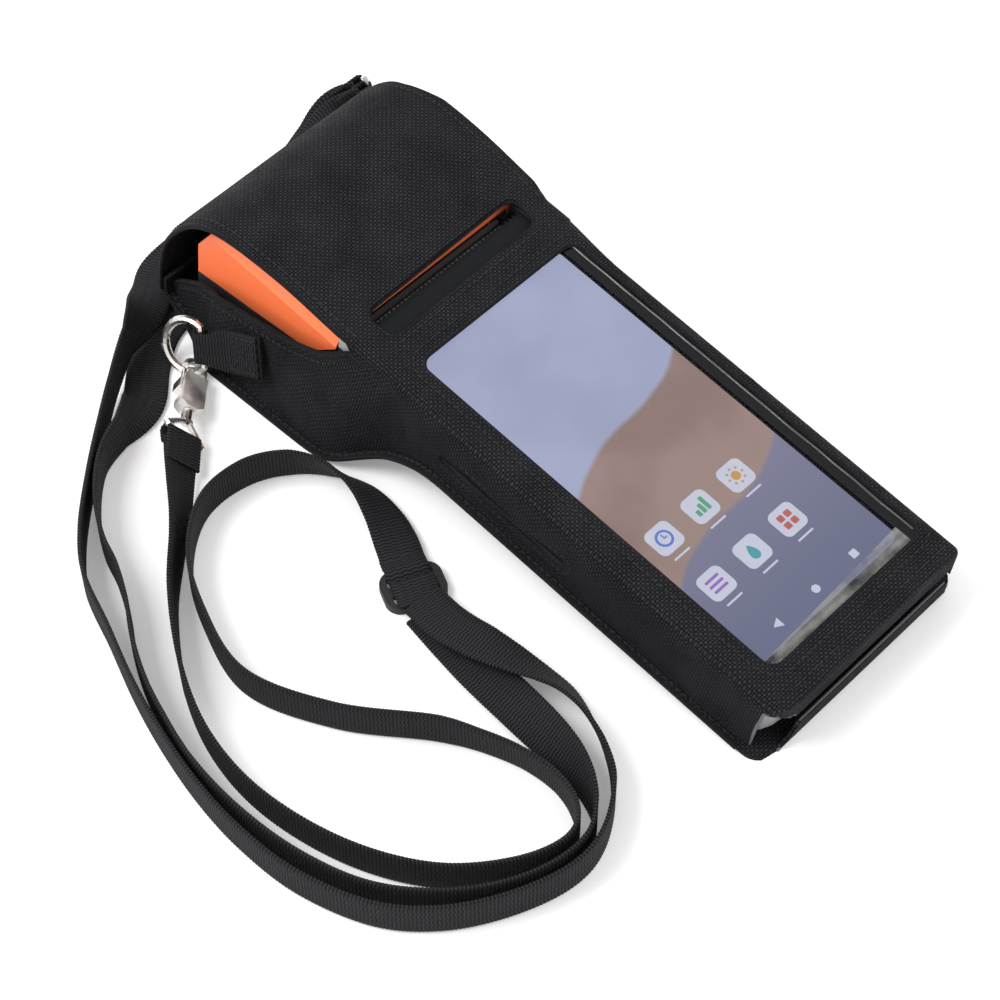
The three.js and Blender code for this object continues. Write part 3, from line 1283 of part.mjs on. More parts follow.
function addStrap() {
  addCord('strap_single', strapSolid(strap_first, 75), black_webbing);
  addCord('strap_loop_upper', strapSolid(strap_upper, 75), black_webbing);
  addCord('strap_loop_lower', strapSolid(strap_lower, 75), black_webbing);
}

// Three-bar slider lying flat across the strap
function addSlider() {
  const shape = roundedRect(slider_w, slider_l, 2 * slider_rim);
  const hole_w = (slider_w - 2 * slider_rim - slider_bar) / 2;
  const hole_l = slider_l - 2 * slider_rim;
  const offset = (slider_bar + hole_w) / 2;
  for (const side of [-1, 1]) shape.holes.push(roundedRect(hole_w, hole_l, hole_w / 4, side * offset, 0));
  const solid = prismZ(shape, 0, slider_t);
  const up = new THREE.Vector3(0, 0, 1);
  const heading = new THREE.Vector3(slider_heading[0], slider_heading[1], 0).normalize();
  const across = heading.clone().cross(up).negate();
  const placed = inFrame(new THREE.Vector3(slider_x, slider_y, gap), heading, across, up);
  addCord('strap_slider', toSolidPlaced(solid, placed), dark_plastic);
}

addFront();
addRearShell();
addLid();
addPrinter();
addDeck();
addInner();
addCase();
addRings();
addHooks();
addStrap();
addSlider();

// The device leans on its foot and belly; the origin is the middle of its footprint
device.rotation.x = rest_tilt;
device.position.z = rest_lift;

const part = new THREE.Group();
part.add(device, laid);
part.updateMatrixWorld(true);
const extent = new THREE.Box3().setFromObject(device, true);
part.position.set(-(extent.min.x + extent.max.x) / 2, -(extent.min.y + extent.max.y) / 2, -extent.min.z);

export default part;
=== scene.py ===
"""Looks of a handheld payment terminal in a black fabric case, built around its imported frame."""

import math

import bmesh
import bpy
import numpy as np
from mathutils import Matrix, Vector, noise


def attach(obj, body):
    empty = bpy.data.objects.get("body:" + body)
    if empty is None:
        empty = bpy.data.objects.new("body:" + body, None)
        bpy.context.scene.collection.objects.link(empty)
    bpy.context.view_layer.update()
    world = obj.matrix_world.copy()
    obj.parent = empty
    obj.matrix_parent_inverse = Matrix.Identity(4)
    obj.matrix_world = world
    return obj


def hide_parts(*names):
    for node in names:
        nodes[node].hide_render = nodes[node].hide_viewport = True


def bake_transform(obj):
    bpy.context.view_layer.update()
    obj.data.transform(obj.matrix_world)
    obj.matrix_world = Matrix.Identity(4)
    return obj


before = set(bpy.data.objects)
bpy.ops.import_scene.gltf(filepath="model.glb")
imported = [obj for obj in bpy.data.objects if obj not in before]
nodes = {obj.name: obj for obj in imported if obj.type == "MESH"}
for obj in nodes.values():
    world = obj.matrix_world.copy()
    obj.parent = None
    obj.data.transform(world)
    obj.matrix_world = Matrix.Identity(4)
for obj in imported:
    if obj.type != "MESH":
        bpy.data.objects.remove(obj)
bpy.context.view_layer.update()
scene = bpy.context.scene
scene.view_settings.view_transform = "Standard"

# The device frame of the CAD, in millimetres, and its place in the row frame
MM = 0.001
TILT = math.radians(7.6)
LIFT = 37.3705
SHIFT_Y = -51.447

# Case sizes, as the CAD has them
FABRIC = 1.5
GAP = 0.3
FOOT_Y = -87.7
FOOT_DEPTH = 26.0
NECK_Y = 57
HUMP_Y = 92
BELLY_END_Y = 152
EAR_END_Y = 176
BACK_END_Y = 178.9
BACK_END_TOP = -46
HEEL_SHARE = 0.62
CREASE = 5
WALL_LEFT = 45.4
WALL_RIGHT = 43.4
HUMP_WALL = 46
FOOT_FLARE = 1.5
HUMP_FLARE = 11
TAIL_SHARE = 0.9
FLANGE = 3
FLAP_Y = 94
FLAP_END_Y = 183.9
FLAP_RISE = 4
FLAP_DROP = 57
COVER_SPLIT_Y = 83
WINDOW_X = 2
WINDOW_Y = -0.7
WINDOW_W = 73
WINDOW_L = 152.6
WINDOW_R = 5
SLOT_X = 0.8
SLOT_Y = 94.4
SLOT_W = 70
SLOT_L = 13.6
SLOT_R = 4.5
SLOT_TURN = 0.018
LIP_H = 12
FOLD_Y = -89.4
ARCH_X = -35
WALL_END_Y = -83
BACK_LIP_H = 11
BACK_LIP_Y = -91
BACK_LIP_X = 41.5
BACK_LIP_R = 7.5
FOOT_CORNER_R = 8
SLIT_Y = 24.5
SLIT_L = 55
SLIT_H = 3
SLIT_Z = -16
CAMERA_Y = 41
CAMERA_R = 6
TERMINAL_DX = -1.5
STRAP_W = 15
STRAP_T = 1.4

# Sizes of what only the looks have: webbing, stitches, the turn at the case's foot, and shading
RIB = 1.2
SCALLOP = 0.28
RIB_DEPTH = 0.1
FOLD_T = 1.2
STITCH_PITCH = 2.6
FOLD_R = 2.4
SHARP = 38


def to_row(points):
    """Device millimetres to metres in the row frame."""
    p = np.asarray(points, float)
    c, s = math.cos(TILT), math.sin(TILT)
    y = p[..., 1] * c - p[..., 2] * s + SHIFT_Y
    z = p[..., 1] * s + p[..., 2] * c + LIFT
    return np.stack([p[..., 0], y, z], -1) * MM


def to_device(points):
    """Metres in the row frame to device millimetres."""
    p = np.asarray(points, float) / MM
    c, s = math.cos(TILT), math.sin(TILT)
    y, z = p[..., 1] - SHIFT_Y, p[..., 2] - LIFT
    return np.stack([p[..., 0], y * c + z * s, z * c - y * s], -1)


def unit(v):
    """A vector, or each row of an array, at length one."""
    v = np.asarray(v, float)
    return v / np.maximum(np.linalg.norm(v, axis=-1, keepdims=True), 1e-9)


# Node materials
WEAVE_MAP = "weave"


class Signal:
    """A value in a node tree; sums and products of signals become nodes."""

    def __init__(self, look, socket):
        self.look, self.socket = look, socket

    def __add__(self, other):
        return self.look.math("ADD", self, other)

    def __mul__(self, other):
        return self.look.math("MULTIPLY", self, other)

    def __rsub__(self, other):
        return self.look.math("SUBTRACT", other, self)


class Look:
    """A node material, with short ways to add to its tree."""

    def __init__(self, name):
        self.material = bpy.data.materials.new(name)
        self.material.use_nodes = True
        self.tree = self.material.node_tree
        self.tree.nodes.clear()
        self.output = self.node("ShaderNodeOutputMaterial")

    def node(self, kind, **settings):
        made = self.tree.nodes.new(kind)
        for key, value in settings.items():
            setattr(made, key, value)
        return made

    def put(self, socket, value):
        if isinstance(value, Signal):
            value = value.socket
        if isinstance(value, bpy.types.NodeSocket):
            self.tree.links.new(value, socket)
        elif isinstance(value, tuple) and len(value) == 3 and len(socket.default_value) == 4:
            socket.default_value = (*value, 1)
        else:
            socket.default_value = value

    def filled(self, made, values, output=0):
        """The output of a node whose sockets, by place or name, are given these values."""
        for key, value in values.items():
            self.put(made.inputs[key], value)
        return Signal(self, made.outputs[output])

    def math(self, operation, first, second=0.0):
        return self.filled(self.node("ShaderNodeMath", operation=operation), {0: first, 1: second})

    def sine(self, value):
        return self.math("SINE", value)

    def size(self, value):
        return self.math("ABSOLUTE", value)

    def mix(self, share, first, second):
        return self.filled(self.node("ShaderNodeMix", data_type="RGBA"), {0: share, 6: first, 7: second}, 2)

    def span(self, value, low, high, start=0.0, end=1.0):
        return self.filled(self.node("ShaderNodeMapRange"), {0: value, 1: low, 2: high, 3: start, 4: end})

    def smooth(self, value, low, high):
        made = self.node("ShaderNodeMapRange", interpolation_type="SMOOTHSTEP")
        return self.filled(made, {0: value, 1: low, 2: high})

    def place(self, scale=(1, 1, 1)):
        """Object coordinates in metres, scaled."""
        mapping = self.node("ShaderNodeMapping")
        mapping.inputs["Scale"].default_value = scale
        return self.filled(mapping, {"Vector": self.node("ShaderNodeTexCoord").outputs["Object"]})

    def parts(self, vector):
        made = self.node("ShaderNodeSeparateXYZ")
        self.put(made.inputs[0], vector)
        return [Signal(self, output) for output in made.outputs]

    def uv(self):
        """The two parts of the map, in millimetres, and the map itself."""
        source = Signal(self, self.node("ShaderNodeUVMap", uv_map=WEAVE_MAP).outputs[0])
        u, v, _ = self.parts(source)
        return u, v, source

    def noise(self, vector, scale, detail=2.0, roughness=0.5):
        values = {"Vector": vector, "Scale": scale, "Detail": detail, "Roughness": roughness}
        return self.filled(self.node("ShaderNodeTexNoise"), values, "Fac")

    def cells(self, scale, **settings):
        made = self.node("ShaderNodeTexVoronoi", **settings)
        return self.filled(made, {"Vector": self.place(), "Scale": scale}, "Distance")

    def bump(self, height, depth_mm, strength=1.0):
        values = {"Strength": strength, "Distance": depth_mm * MM, "Height": height}
        return self.filled(self.node("ShaderNodeBump"), values)

    def shade(self, colour, roughness, normal=None, **more):
        values = {"Base Color": colour, "Roughness": roughness}
        if normal is not None:
            values["Normal"] = normal
        values.update((key.replace("_", " "), value) for key, value in more.items())
        return self.finish(self.filled(self.node("ShaderNodeBsdfPrincipled"), values))

    def finish(self, shader):
        self.put(self.output.inputs["Surface"], shader)
        return self.material


def woven(name, pitch, crest, groove_shade, depth=0.3, rough=0.78):
    """Plain weave of thick yarn on a map in millimetres: a bump at each crossing, brighter on top, with painted
    shade darkening the grooves and the lower thread.
    """
    look = Look(name)
    u, v, vector = look.uv()
    drift = look.noise(vector, 0.07) * (pitch * 1.1)
    cell = look.sine((u + drift) * (math.pi / pitch)) * look.sine((v + drift) * (math.pi / pitch))
    height = look.size(cell)
    warp_on_top = look.smooth(cell, -0.3, 0.3)
    fuzz = look.noise(vector, 1.3, 4.0, 0.8)
    patch = look.noise(vector, 0.06, 3.0, 0.6)
    # Painted shade: the colour falls from the crest tone to the near-black groove tone in the weave's hollows and
    # on the thread underneath
    level = look.math("POWER", height, 0.8) * look.span(warp_on_top, 0.0, 1.0, 0.5, 1.0)
    level = level * look.span(fuzz, 0.35, 0.7, 0.3, 1.6) * look.span(patch, 0.3, 0.7, 0.75, 1.3)
    gloss = look.span(patch, 0.3, 0.7, rough + 0.08, rough - 0.08)
    normal = look.bump(height + fuzz * 0.4, depth)
    return look.shade(look.mix(level, groove_shade, crest), gloss, normal, Specular_IOR_Level=0.1)


def ribbed(name, crest):
    """Webbing: ribs across a strap whose map has its width in u and its length in v, in millimetres, with painted
    shade between the ribs.
    """
    look = Look(name)
    u, v, vector = look.uv()
    shift = look.sine(u * (math.pi / 1.6)) * 0.18
    rib = look.size(look.sine((v + shift) * (math.pi / RIB)))
    yarn = look.size(look.sine(u * (math.pi / 0.8)))
    fuzz = look.noise(vector, 2.7, 3.0, 0.7)
    height = rib * look.span(yarn, 0.0, 1.0, 0.65, 1.0)
    level = height * look.span(fuzz, 0.25, 0.75, 0.5, 1.4)
    normal = look.bump(height + fuzz * 0.3, 0.3, 0.9)
    # Painted shade: the colour falls to near black between the ribs and, less, between the yarns
    return look.shade(look.mix(level, (0.001, 0.001, 0.0012), crest), 0.72, normal, Specular_IOR_Level=0.12)


def moulded(name, colour, roughness, grain_mm=0.35, depth=0.02, drift=0.08, **more):
    """Moulded plastic: a fine spark texture, slow colour drift and patchy gloss."""
    look = Look(name)
    place = look.place()
    grain = look.noise(place, 1 / (grain_mm * MM), 2.0, 0.6)
    slow = look.noise(place, 24.0, 3.0, 0.55)
    low, high = (tuple(min(1.0, c * (1 + change)) for c in colour) for change in (-drift, drift))
    rough = look.span(slow, 0.3, 0.7, roughness * 0.85, min(1.0, roughness * 1.15))
    return look.shade(look.mix(slow, low, high), rough, look.bump(grain, depth, 0.6), **more)


def grey_with_dark_shaded_end(name, far, start, end, beyond=-100.0):
    """Grey plastic that turns dark past a place along its length, but not left of beyond, in row mm: partly darker
    plastic, partly painted shade under the lid.
    """
    look = Look(name)
    place = look.place()
    x, y, _ = look.parts(place)
    # Painted shade: share blends towards the far tone where the lid shades the body, over plastic that is partly
    # dark
    share = look.smooth(y, start * MM, end * MM) * look.smooth(x, beyond * MM, (beyond + 0.4) * MM)
    grain = look.noise(place, 3000.0, 2.0, 0.6)
    slow = look.noise(place, 24.0, 3.0, 0.55)
    grey = look.mix(slow, (0.38, 0.3895, 0.399), (0.4, 0.41, 0.42))
    rough = look.span(slow, 0.3, 0.7, 0.42, 0.56)
    return look.shade(look.mix(share, grey, far), rough, look.bump(grain, 0.03, 0.6))


def metal(name, colour, roughness, brushed=0.0):
    """Plated or brushed metal: fine pits and hairlines over a slightly uneven polish."""
    look = Look(name)
    pits = look.noise(look.place(), 900.0, 3.0, 0.6)
    hairs = look.noise(look.place((60, 60, 2400)), 1.0)
    slow = look.noise(look.place(), 120.0)
    rough = look.span(slow, 0.3, 0.7, roughness * 0.7, roughness * 1.5)
    tone = look.mix(slow, tuple(c * 0.9 for c in colour), colour)
    return look.shade(tone, rough, look.bump(pits * 0.4 + hairs * brushed, 0.02, 0.35), Metallic=1.0)


def paper():
    """Faint fibres, and the edges of the turns round the roll's axis on its ends."""
    look = Look("receipt_paper")
    u, _, vector = look.uv()
    turns = look.sine(u * (2 * math.pi / 0.5))
    level = turns * 0.35 + look.noise(vector, 0.8, 4.0, 0.7) * 0.8
    return look.shade(look.mix(level, (0.6, 0.59, 0.56), (0.86, 0.85, 0.82)), 0.85, look.bump(level, 0.06, 0.6))


def printed_board():
    """Solder-resist green with lighter tracks in a fine irregular net."""
    look = Look("circuit_board")
    track = look.smooth(look.cells(260.0, feature="DISTANCE_TO_EDGE"), 0.02, 0.06)
    tone = look.mix(track, (0.035, 0.16, 0.07), (0.012, 0.075, 0.03))
    return look.shade(tone, 0.4, look.bump(track, 0.04, 0.6))


def looped():
    """Hook-and-loop tape: dense dark stubble, with painted shade darker between the stubs."""
    look = Look("hook_tape")
    stub = look.span(look.cells(1100.0), 0.0, 0.6, 1.0, 0.0)
    # Painted shade: the colour darkens away from each stub's top, as its bump does
    tone = look.mix(stub, (0.004, 0.004, 0.004), (0.03, 0.03, 0.032))
    return look.shade(tone, 0.95, look.bump(stub, 0.5))


def clear_but(look, tint, share, shader, values):
    """A clear surface with a share of another shader over it."""
    clear = look.filled(look.node("ShaderNodeBsdfTransparent"), {"Color": tint})
    over = look.filled(look.node(shader), values)
    return look.finish(look.filled(look.node("ShaderNodeMixShader"), {0: share, 1: clear, 2: over}))


def film_look():
    """Clear film: what is behind shows, under the gloss of its outer surface."""
    look = Look("clear_film")
    normal = look.bump(look.noise(look.place(), 55.0), 0.35, 0.25)
    outside = 1.0 - Signal(look, look.node("ShaderNodeNewGeometry").outputs["Backfacing"])
    edge = look.filled(look.node("ShaderNodeFresnel"), {"IOR": 1.2})
    gloss = {"Color": (1.0, 1.0, 1.0), "Roughness": 0.08, "Normal": normal}
    return clear_but(look, (0.965, 0.97, 0.975), edge * outside, "ShaderNodeBsdfGlossy", gloss)


def painted_glare_look():
    """Painted glare on the film: partly clear, partly a pale diffuse haze with streaks in place of light reflected
    off it.
    """
    look = Look("film_glare_paint")
    u, v, vector = look.uv()
    streak = look.sine(v * 1.9 + u * 0.12)
    patch = look.noise(vector, 0.09, 3.0, 0.6)
    share = look.span(patch, 0.35, 0.65, 0.05, 0.5) * look.span(streak, -1.0, 1.0, 0.6, 1.0)
    # Painted reflection: the grey diffuse share stands in for light glancing off the film
    return clear_but(look, (1.0, 1.0, 1.0), share, "ShaderNodeBsdfDiffuse", {"Color": (0.3, 0.3, 0.29)})


def screen_look():
    """A lit display with a generic wallpaper: three soft bands on a map in device millimetres."""
    look = Look("screen_picture")
    u, v, vector = look.uv()
    haze = look.noise(vector, 0.02, 3.0)
    line = v + u * -0.55 + look.sine(u * 0.055) * 9.0 + haze * 6.0
    top = look.mix(look.smooth(haze, 0.35, 0.65), (0.32, 0.345, 0.49), (0.37, 0.4, 0.56))
    middle = look.mix(look.smooth(haze, 0.4, 0.6), (0.26, 0.175, 0.155), (0.32, 0.225, 0.2))
    low = look.mix(look.smooth(v, -80.0, -10.0), (0.13, 0.14, 0.23), (0.2, 0.2, 0.29))
    colour = look.mix(look.smooth(line, 17.0, 19.5), middle, top)
    colour = look.mix(look.smooth(line, -24.0, -26.5), colour, low)
    return look.shade((0.01, 0.01, 0.012), 0.12, Emission_Color=colour, Emission_Strength=1.05,
                      Specular_IOR_Level=0.1)


def glowing(name, colour):
    """A lit mark on the display, slightly uneven."""
    look = Look(name)
    tone = look.mix(look.noise(look.place(), 160.0, 1.0), tuple(c * 0.9 for c in colour), colour)
    return look.shade((0.02, 0.02, 0.02), 0.2, Emission_Color=tone, Emission_Strength=0.9)


# Camera, world, floor and lamps
def add_camera():
    """The camera that was solved from the photograph: its place, and its right and up directions."""
    data = bpy.data.cameras.new("camera")
    data.lens, data.sensor_width = 99.49, 36
    data.clip_start, data.clip_end = 0.05, 50
    camera = bpy.data.objects.new("camera", data)
    right, up = Vector((0.692123, -0.721778, -0.002334)), Vector((0.580894, 0.555108, 0.595335))
    turn = Matrix((right, up, right.cross(up))).transposed().to_4x4()
    camera.matrix_world = Matrix.Translation((-0.4204, -0.3853, 0.7311)) @ turn
    scene.collection.objects.link(camera)
    scene.camera = camera


def seen_directly(tree):
    """1 for rays of the camera, reflections and clear surfaces, and 0 for the light that falls on things."""
    path = tree.nodes.new("ShaderNodeLightPath")
    total = path.outputs["Is Camera Ray"]
    for kind in ("Is Glossy Ray", "Is Transmission Ray"):
        most = tree.nodes.new("ShaderNodeMath")
        most.operation = "MAXIMUM"
        tree.links.new(total, most.inputs[0])
        tree.links.new(path.outputs[kind], most.inputs[1])
        total = most.outputs[0]
    return total


def add_world():
    world = bpy.data.worlds.new("studio")
    world.use_nodes = True
    scene.world = world
    tree = world.node_tree
    background = tree.nodes["Background"]
    background.inputs["Color"].default_value = (1, 1, 1, 1)
    level = tree.nodes.new("ShaderNodeMapRange")
    level.inputs["To Min"].default_value = WORLD_LIGHT
    level.inputs["To Max"].default_value = 1.0
    tree.links.new(seen_directly(tree), level.inputs["Value"])
    tree.links.new(level.outputs[0], background.inputs["Strength"])


def add_floor():
    far = 3.0
    mesh = bpy.data.meshes.new("floor")
    mesh.from_pydata([(-far, -far, 0), (far, -far, 0), (far, far, 0), (-far, far, 0)], [], [(0, 1, 2, 3)])
    floor = bpy.data.objects.new("floor", mesh)
    scene.collection.objects.link(floor)
    look = Look("floor_white")
    glow = Signal(look, seen_directly(look.tree)) * FLOOR_GLOW
    mesh.materials.append(look.shade(FLOOR_COLOUR, 0.9, Specular_IOR_Level=0.0, Emission_Color=(1, 1, 1),
                                     Emission_Strength=glow))


def add_lamp(name, place, size, power):
    data = bpy.data.lights.new(name, "AREA")
    data.shape, data.size, data.energy = "SQUARE", size, power
    lamp = bpy.data.objects.new(name, data)
    lamp.location = place
    lamp.rotation_euler = (-Vector(place)).to_track_quat("-Z", "Y").to_euler()
    scene.collection.objects.link(lamp)


WORLD_LIGHT = 0.85
FLOOR_COLOUR = (0.84, 0.84, 0.84)
FLOOR_GLOW = 0.2
add_camera()
add_world()
add_floor()
add_lamp("key", (-0.9, 0.7, 1.5), 0.9, 26.0)
add_lamp("fill", (1.1, -1.2, 1.2), 1.0, 12.0)

# The fabrics' near-black groove tones are painted shade in the weave's hollows
FABRIC_LOOK = woven("oxford_fabric", 1.0, (0.042, 0.043, 0.049), (0.0008, 0.0008, 0.001), 0.35)
EDGE_LOOK = woven("turned_edge", 0.7, (0.04, 0.04, 0.044), (0.003, 0.003, 0.0035), 0.12)
WEBBING_LOOK = ribbed("strap_webbing", (0.032, 0.032, 0.036))
TAB_LOOK = ribbed("tab_webbing", (0.026, 0.026, 0.029))
THREAD_LOOK = moulded("sewing_thread", (0.018, 0.018, 0.02), 0.6, 0.2, 0.05, Specular_IOR_Level=0.2)
LID_LOOK = moulded("lid_orange", (1.0, 0.2, 0.065), 0.4, 0.3, 0.015, 0.0)
# Frame and shell darken towards the printer end: partly dark plastic, partly painted shade under the lid
FRAME_LOOK = grey_with_dark_shaded_end("front_frame", (0.018, 0.019, 0.021), 30.0, 36.0, -41.6)
REAR_LOOK = grey_with_dark_shaded_end("rear_shell", (0.02, 0.021, 0.023), 30.0, 40.0)
DARK_LOOK = moulded("dark_plastic", (0.028, 0.03, 0.032), 0.5, 0.3, 0.04)
DECK_LOOK = moulded("deck_plastic", (0.007, 0.0075, 0.0085), 0.6, 0.25, Specular_IOR_Level=0.1)
GEAR_LOOK = moulded("gear_black", (0.03, 0.03, 0.032), 0.45)
GLASS_LOOK = moulded("black_glass", (0.006, 0.006, 0.008), 0.08, 2.0, 0.002, Specular_IOR_Level=0.15)
BUCKLE_LOOK = moulded("buckle_plastic", (0.012, 0.012, 0.013), 0.55, 0.3, 0.05, Specular_IOR_Level=0.3)
RUBBER_LOOK = moulded("roller_rubber", (0.012, 0.012, 0.012), 0.8, 0.4, 0.05)
CELL_LOOK = moulded("cell_wrap", (0.08, 0.09, 0.11), 0.35, 3.0, 0.05)
BODY_LOOK = metal("cast_nickel", (0.95, 0.94, 0.92), 0.5)
NICKEL_LOOK = metal("nickel", (0.82, 0.79, 0.75), 0.24)
STEEL_LOOK = metal("steel", (0.5, 0.5, 0.51), 0.3, 0.6)
BOARD_LOOK = printed_board()
TAPE_LOOK = looped()
PAPER_LOOK = paper()
MARK_LOOK = glowing("white_mark", (0.62, 0.64, 0.78))
VINYL_LOOK = moulded("black_vinyl", (0.004, 0.004, 0.005), 0.14, 2.0, 0.12, Specular_IOR_Level=0.22)
PIPING_LOOK = moulded("film_piping", (0.02, 0.02, 0.022), 0.22, 2.0, 0.1, Specular_IOR_Level=0.9)
CUT_LOOK = moulded("cut_edge", (0.1, 0.1, 0.105), 0.7, 0.3, 0.1)


# Mesh building
def add_piece(name, mesh, look, body="terminal", rides=True):
    obj = bpy.data.objects.new(name, mesh)
    scene.collection.objects.link(obj)
    mesh.materials.append(look)
    if rides:
        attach(obj, body)
    return obj


def make_mesh(name, points, faces, uvs=None, sharp=SHARP):
    """A mesh from points in row metres, with a corner map, shaded smooth between sharp edges."""
    mesh = bpy.data.meshes.new(name)
    mesh.from_pydata([tuple(map(float, p)) for p in points], [], [tuple(map(int, f)) for f in faces])
    if uvs is not None:
        layer = mesh.uv_layers.new(name=WEAVE_MAP)
        corners = np.empty(len(mesh.loops), np.int64)
        mesh.loops.foreach_get("vertex_index", corners)
        layer.data.foreach_set("uv", np.asarray(uvs, np.float32)[corners].ravel())
    work = bmesh.new()
    work.from_mesh(mesh)
    bmesh.ops.recalc_face_normals(work, faces=work.faces)
    work.to_mesh(mesh)
    work.free()
    shade_between(mesh, sharp)
    return mesh


def shade_between(mesh, sharp=SHARP):
    """Smooth shading between edges sharper than an angle in degrees."""
    mesh.shade_smooth()
    mesh.set_sharp_from_angle(angle=math.radians(sharp))


def box_map(mesh):
    """A map in millimetres, laid on each face along the device axis that the face looks down."""
    layer = mesh.uv_layers.get(WEAVE_MAP) or mesh.uv_layers.new(name=WEAVE_MAP)
    places = to_device(np.array([v.co for v in mesh.vertices], float).reshape(-1, 3))
    c, s = math.cos(TILT), math.sin(TILT)
    for face in mesh.polygons:
        n = face.normal
        facing = np.abs([n.x, n.y * c + n.z * s, n.z * c - n.y * s]) * (0.7, 0.7, 1.0)
        first, second = ((2, 1), (0, 2), (0, 1))[int(np.argmax(facing))]
        for corner in face.loop_indices:
            p = places[mesh.loops[corner].vertex_index]
            layer.data[corner].uv = (p[first], p[second])
    mesh.uv_layers.active = layer


def grid_faces(rows, columns, offset=0, closed=False):
    i, j = np.meshgrid(np.arange(rows - 1), np.arange(columns if closed else columns - 1), indexing="ij")
    k = (j + 1) % columns
    here, beside = i * columns + j, i * columns + k
    return (np.stack([here, beside, beside + columns, here + columns], -1).reshape(-1, 4) + offset).tolist()


def seam_faces(rows, columns):
    """The faces that join a grid's last row to its first."""
    last = (rows - 1) * columns
    return [[last + j, last + (j + 1) % columns, (j + 1) % columns, j] for j in range(columns)]


def end_faces(rows, columns):
    return [list(range(columns)), list(range((rows - 1) * columns, rows * columns))]


def normals_of(grid):
    return unit(np.cross(np.gradient(grid, axis=1), np.gradient(grid, axis=0)))


def sheet_mesh(name, grid, thickness, flip=False):
    """Closed cloth of one thickness below a grid of device points; flip turns its outside over."""
    grid = np.asarray(grid, float)
    rows, columns = grid.shape[:2]
    inner = grid - normals_of(grid) * (-1 if flip else 1) * thickness
    points = np.concatenate([grid.reshape(-1, 3), inner.reshape(-1, 3)])
    count = rows * columns
    faces = grid_faces(rows, columns)
    faces += [list(reversed(f)) for f in grid_faces(rows, columns, count)]
    index = np.arange(count).reshape(rows, columns)
    rim = list(index[0]) + list(index[1:, -1]) + list(index[-1, -2::-1]) + list(index[-2:0:-1, 0])
    for a, b in zip(rim, rim[1:] + rim[:1]):
        faces.append([a, b, b + count, a + count])
    return make_mesh(name, to_row(points), faces)


def prism_mesh(name, outline, low, high, axis=2):
    """A closed prism along a device axis, from an outline in the other two."""
    outline = np.asarray(outline, float)
    points = []
    for level in (low, high):
        for a, b in outline:
            points.append({0: (level, a, b), 1: (a, level, b), 2: (a, b, level)}[axis])
    n = len(outline)
    faces = [list(range(n)), list(range(n, 2 * n))]
    faces += [[i, (i + 1) % n, n + (i + 1) % n, n + i] for i in range(n)]
    return make_mesh(name, to_row(points), faces)


def rounded_rect(w, h, r, x=0.0, y=0.0, steps=8):
    points = []
    for cx, cy, start in ((w, h, 0), (-w, h, 90), (-w, -h, 180), (w, -h, 270)):
        mx, my = cx / 2 - math.copysign(r, cx), cy / 2 - math.copysign(r, cy)
        for k in range(steps + 1):
            turn = math.radians(start + 90 * k / steps)
            points.append((x + mx + r * math.cos(turn), y + my + r * math.sin(turn)))
    return points


def cut_by(obj, cutters):
    """Cuts closed cutter meshes out of an object and keeps the result as its mesh."""
    helpers = []
    for mesh in cutters:
        helper = bpy.data.objects.new("cutter", mesh)
        scene.collection.objects.link(helper)
        modifier = obj.modifiers.new("cut", "BOOLEAN")
        modifier.object, modifier.operation, modifier.solver = helper, "DIFFERENCE", "EXACT"
        helpers.append(helper)
    bpy.context.view_layer.update()
    made = bpy.data.meshes.new_from_object(obj.evaluated_get(bpy.context.evaluated_depsgraph_get()))
    obj.modifiers.clear()
    obj.data = made
    for helper in helpers:
        bpy.data.objects.remove(helper)
    shade_between(made)


def travelled(path):
    """The distance travelled along a path at each of its points."""
    return np.concatenate([[0], np.cumsum(np.linalg.norm(np.diff(path, axis=0), axis=1))])


def frames_along(path, closed=False):
    """Two normals at each point of a path, turned as little as can be from one to the next."""
    tangent = unit(np.roll(path, -1, 0) - np.roll(path, 1, 0) if closed else np.gradient(path, axis=0))
    first = np.empty_like(tangent)
    guide = np.array((0.0, 0.0, 1.0))
    if abs(tangent[0] @ guide) > 0.9:
        guide = np.array((0.0, 1.0, 0.0))
    for i, t in enumerate(tangent):
        first[i] = guide = unit(guide - t * (guide @ t))
    return first, np.cross(tangent, first)


def tube_mesh(name, path, radius, closed=False, sides=8):
    """A round tube along device points."""
    path = np.asarray(path, float)
    first, second = frames_along(path, closed)
    turn = np.arange(sides) * 2 * math.pi / sides
    across, up = np.cos(turn)[None, :, None], np.sin(turn)[None, :, None]
    points = path[:, None] + (across * first[:, None] + up * second[:, None]) * radius
    rows = len(path)
    faces = grid_faces(rows, sides, closed=True) + (seam_faces if closed else end_faces)(rows, sides)
    uvs = np.stack([np.tile(turn * radius, rows), np.repeat(travelled(path), sides)], -1)
    return make_mesh(name, to_row(points.reshape(-1, 3)), faces, uvs, sharp=60)


def resampled(path, step, closed=False):
    """Points at even distances along a path."""
    path = np.asarray(path, float)
    if closed:
        path = np.vstack([path, path[:1]])
    length = travelled(path)
    count = max(2, int(round(length[-1] / step)) + (0 if closed else 1))
    at = np.linspace(0, length[-1], count, endpoint=not closed)
    return np.stack([np.interp(at, length, path[:, k]) for k in range(3)], -1)


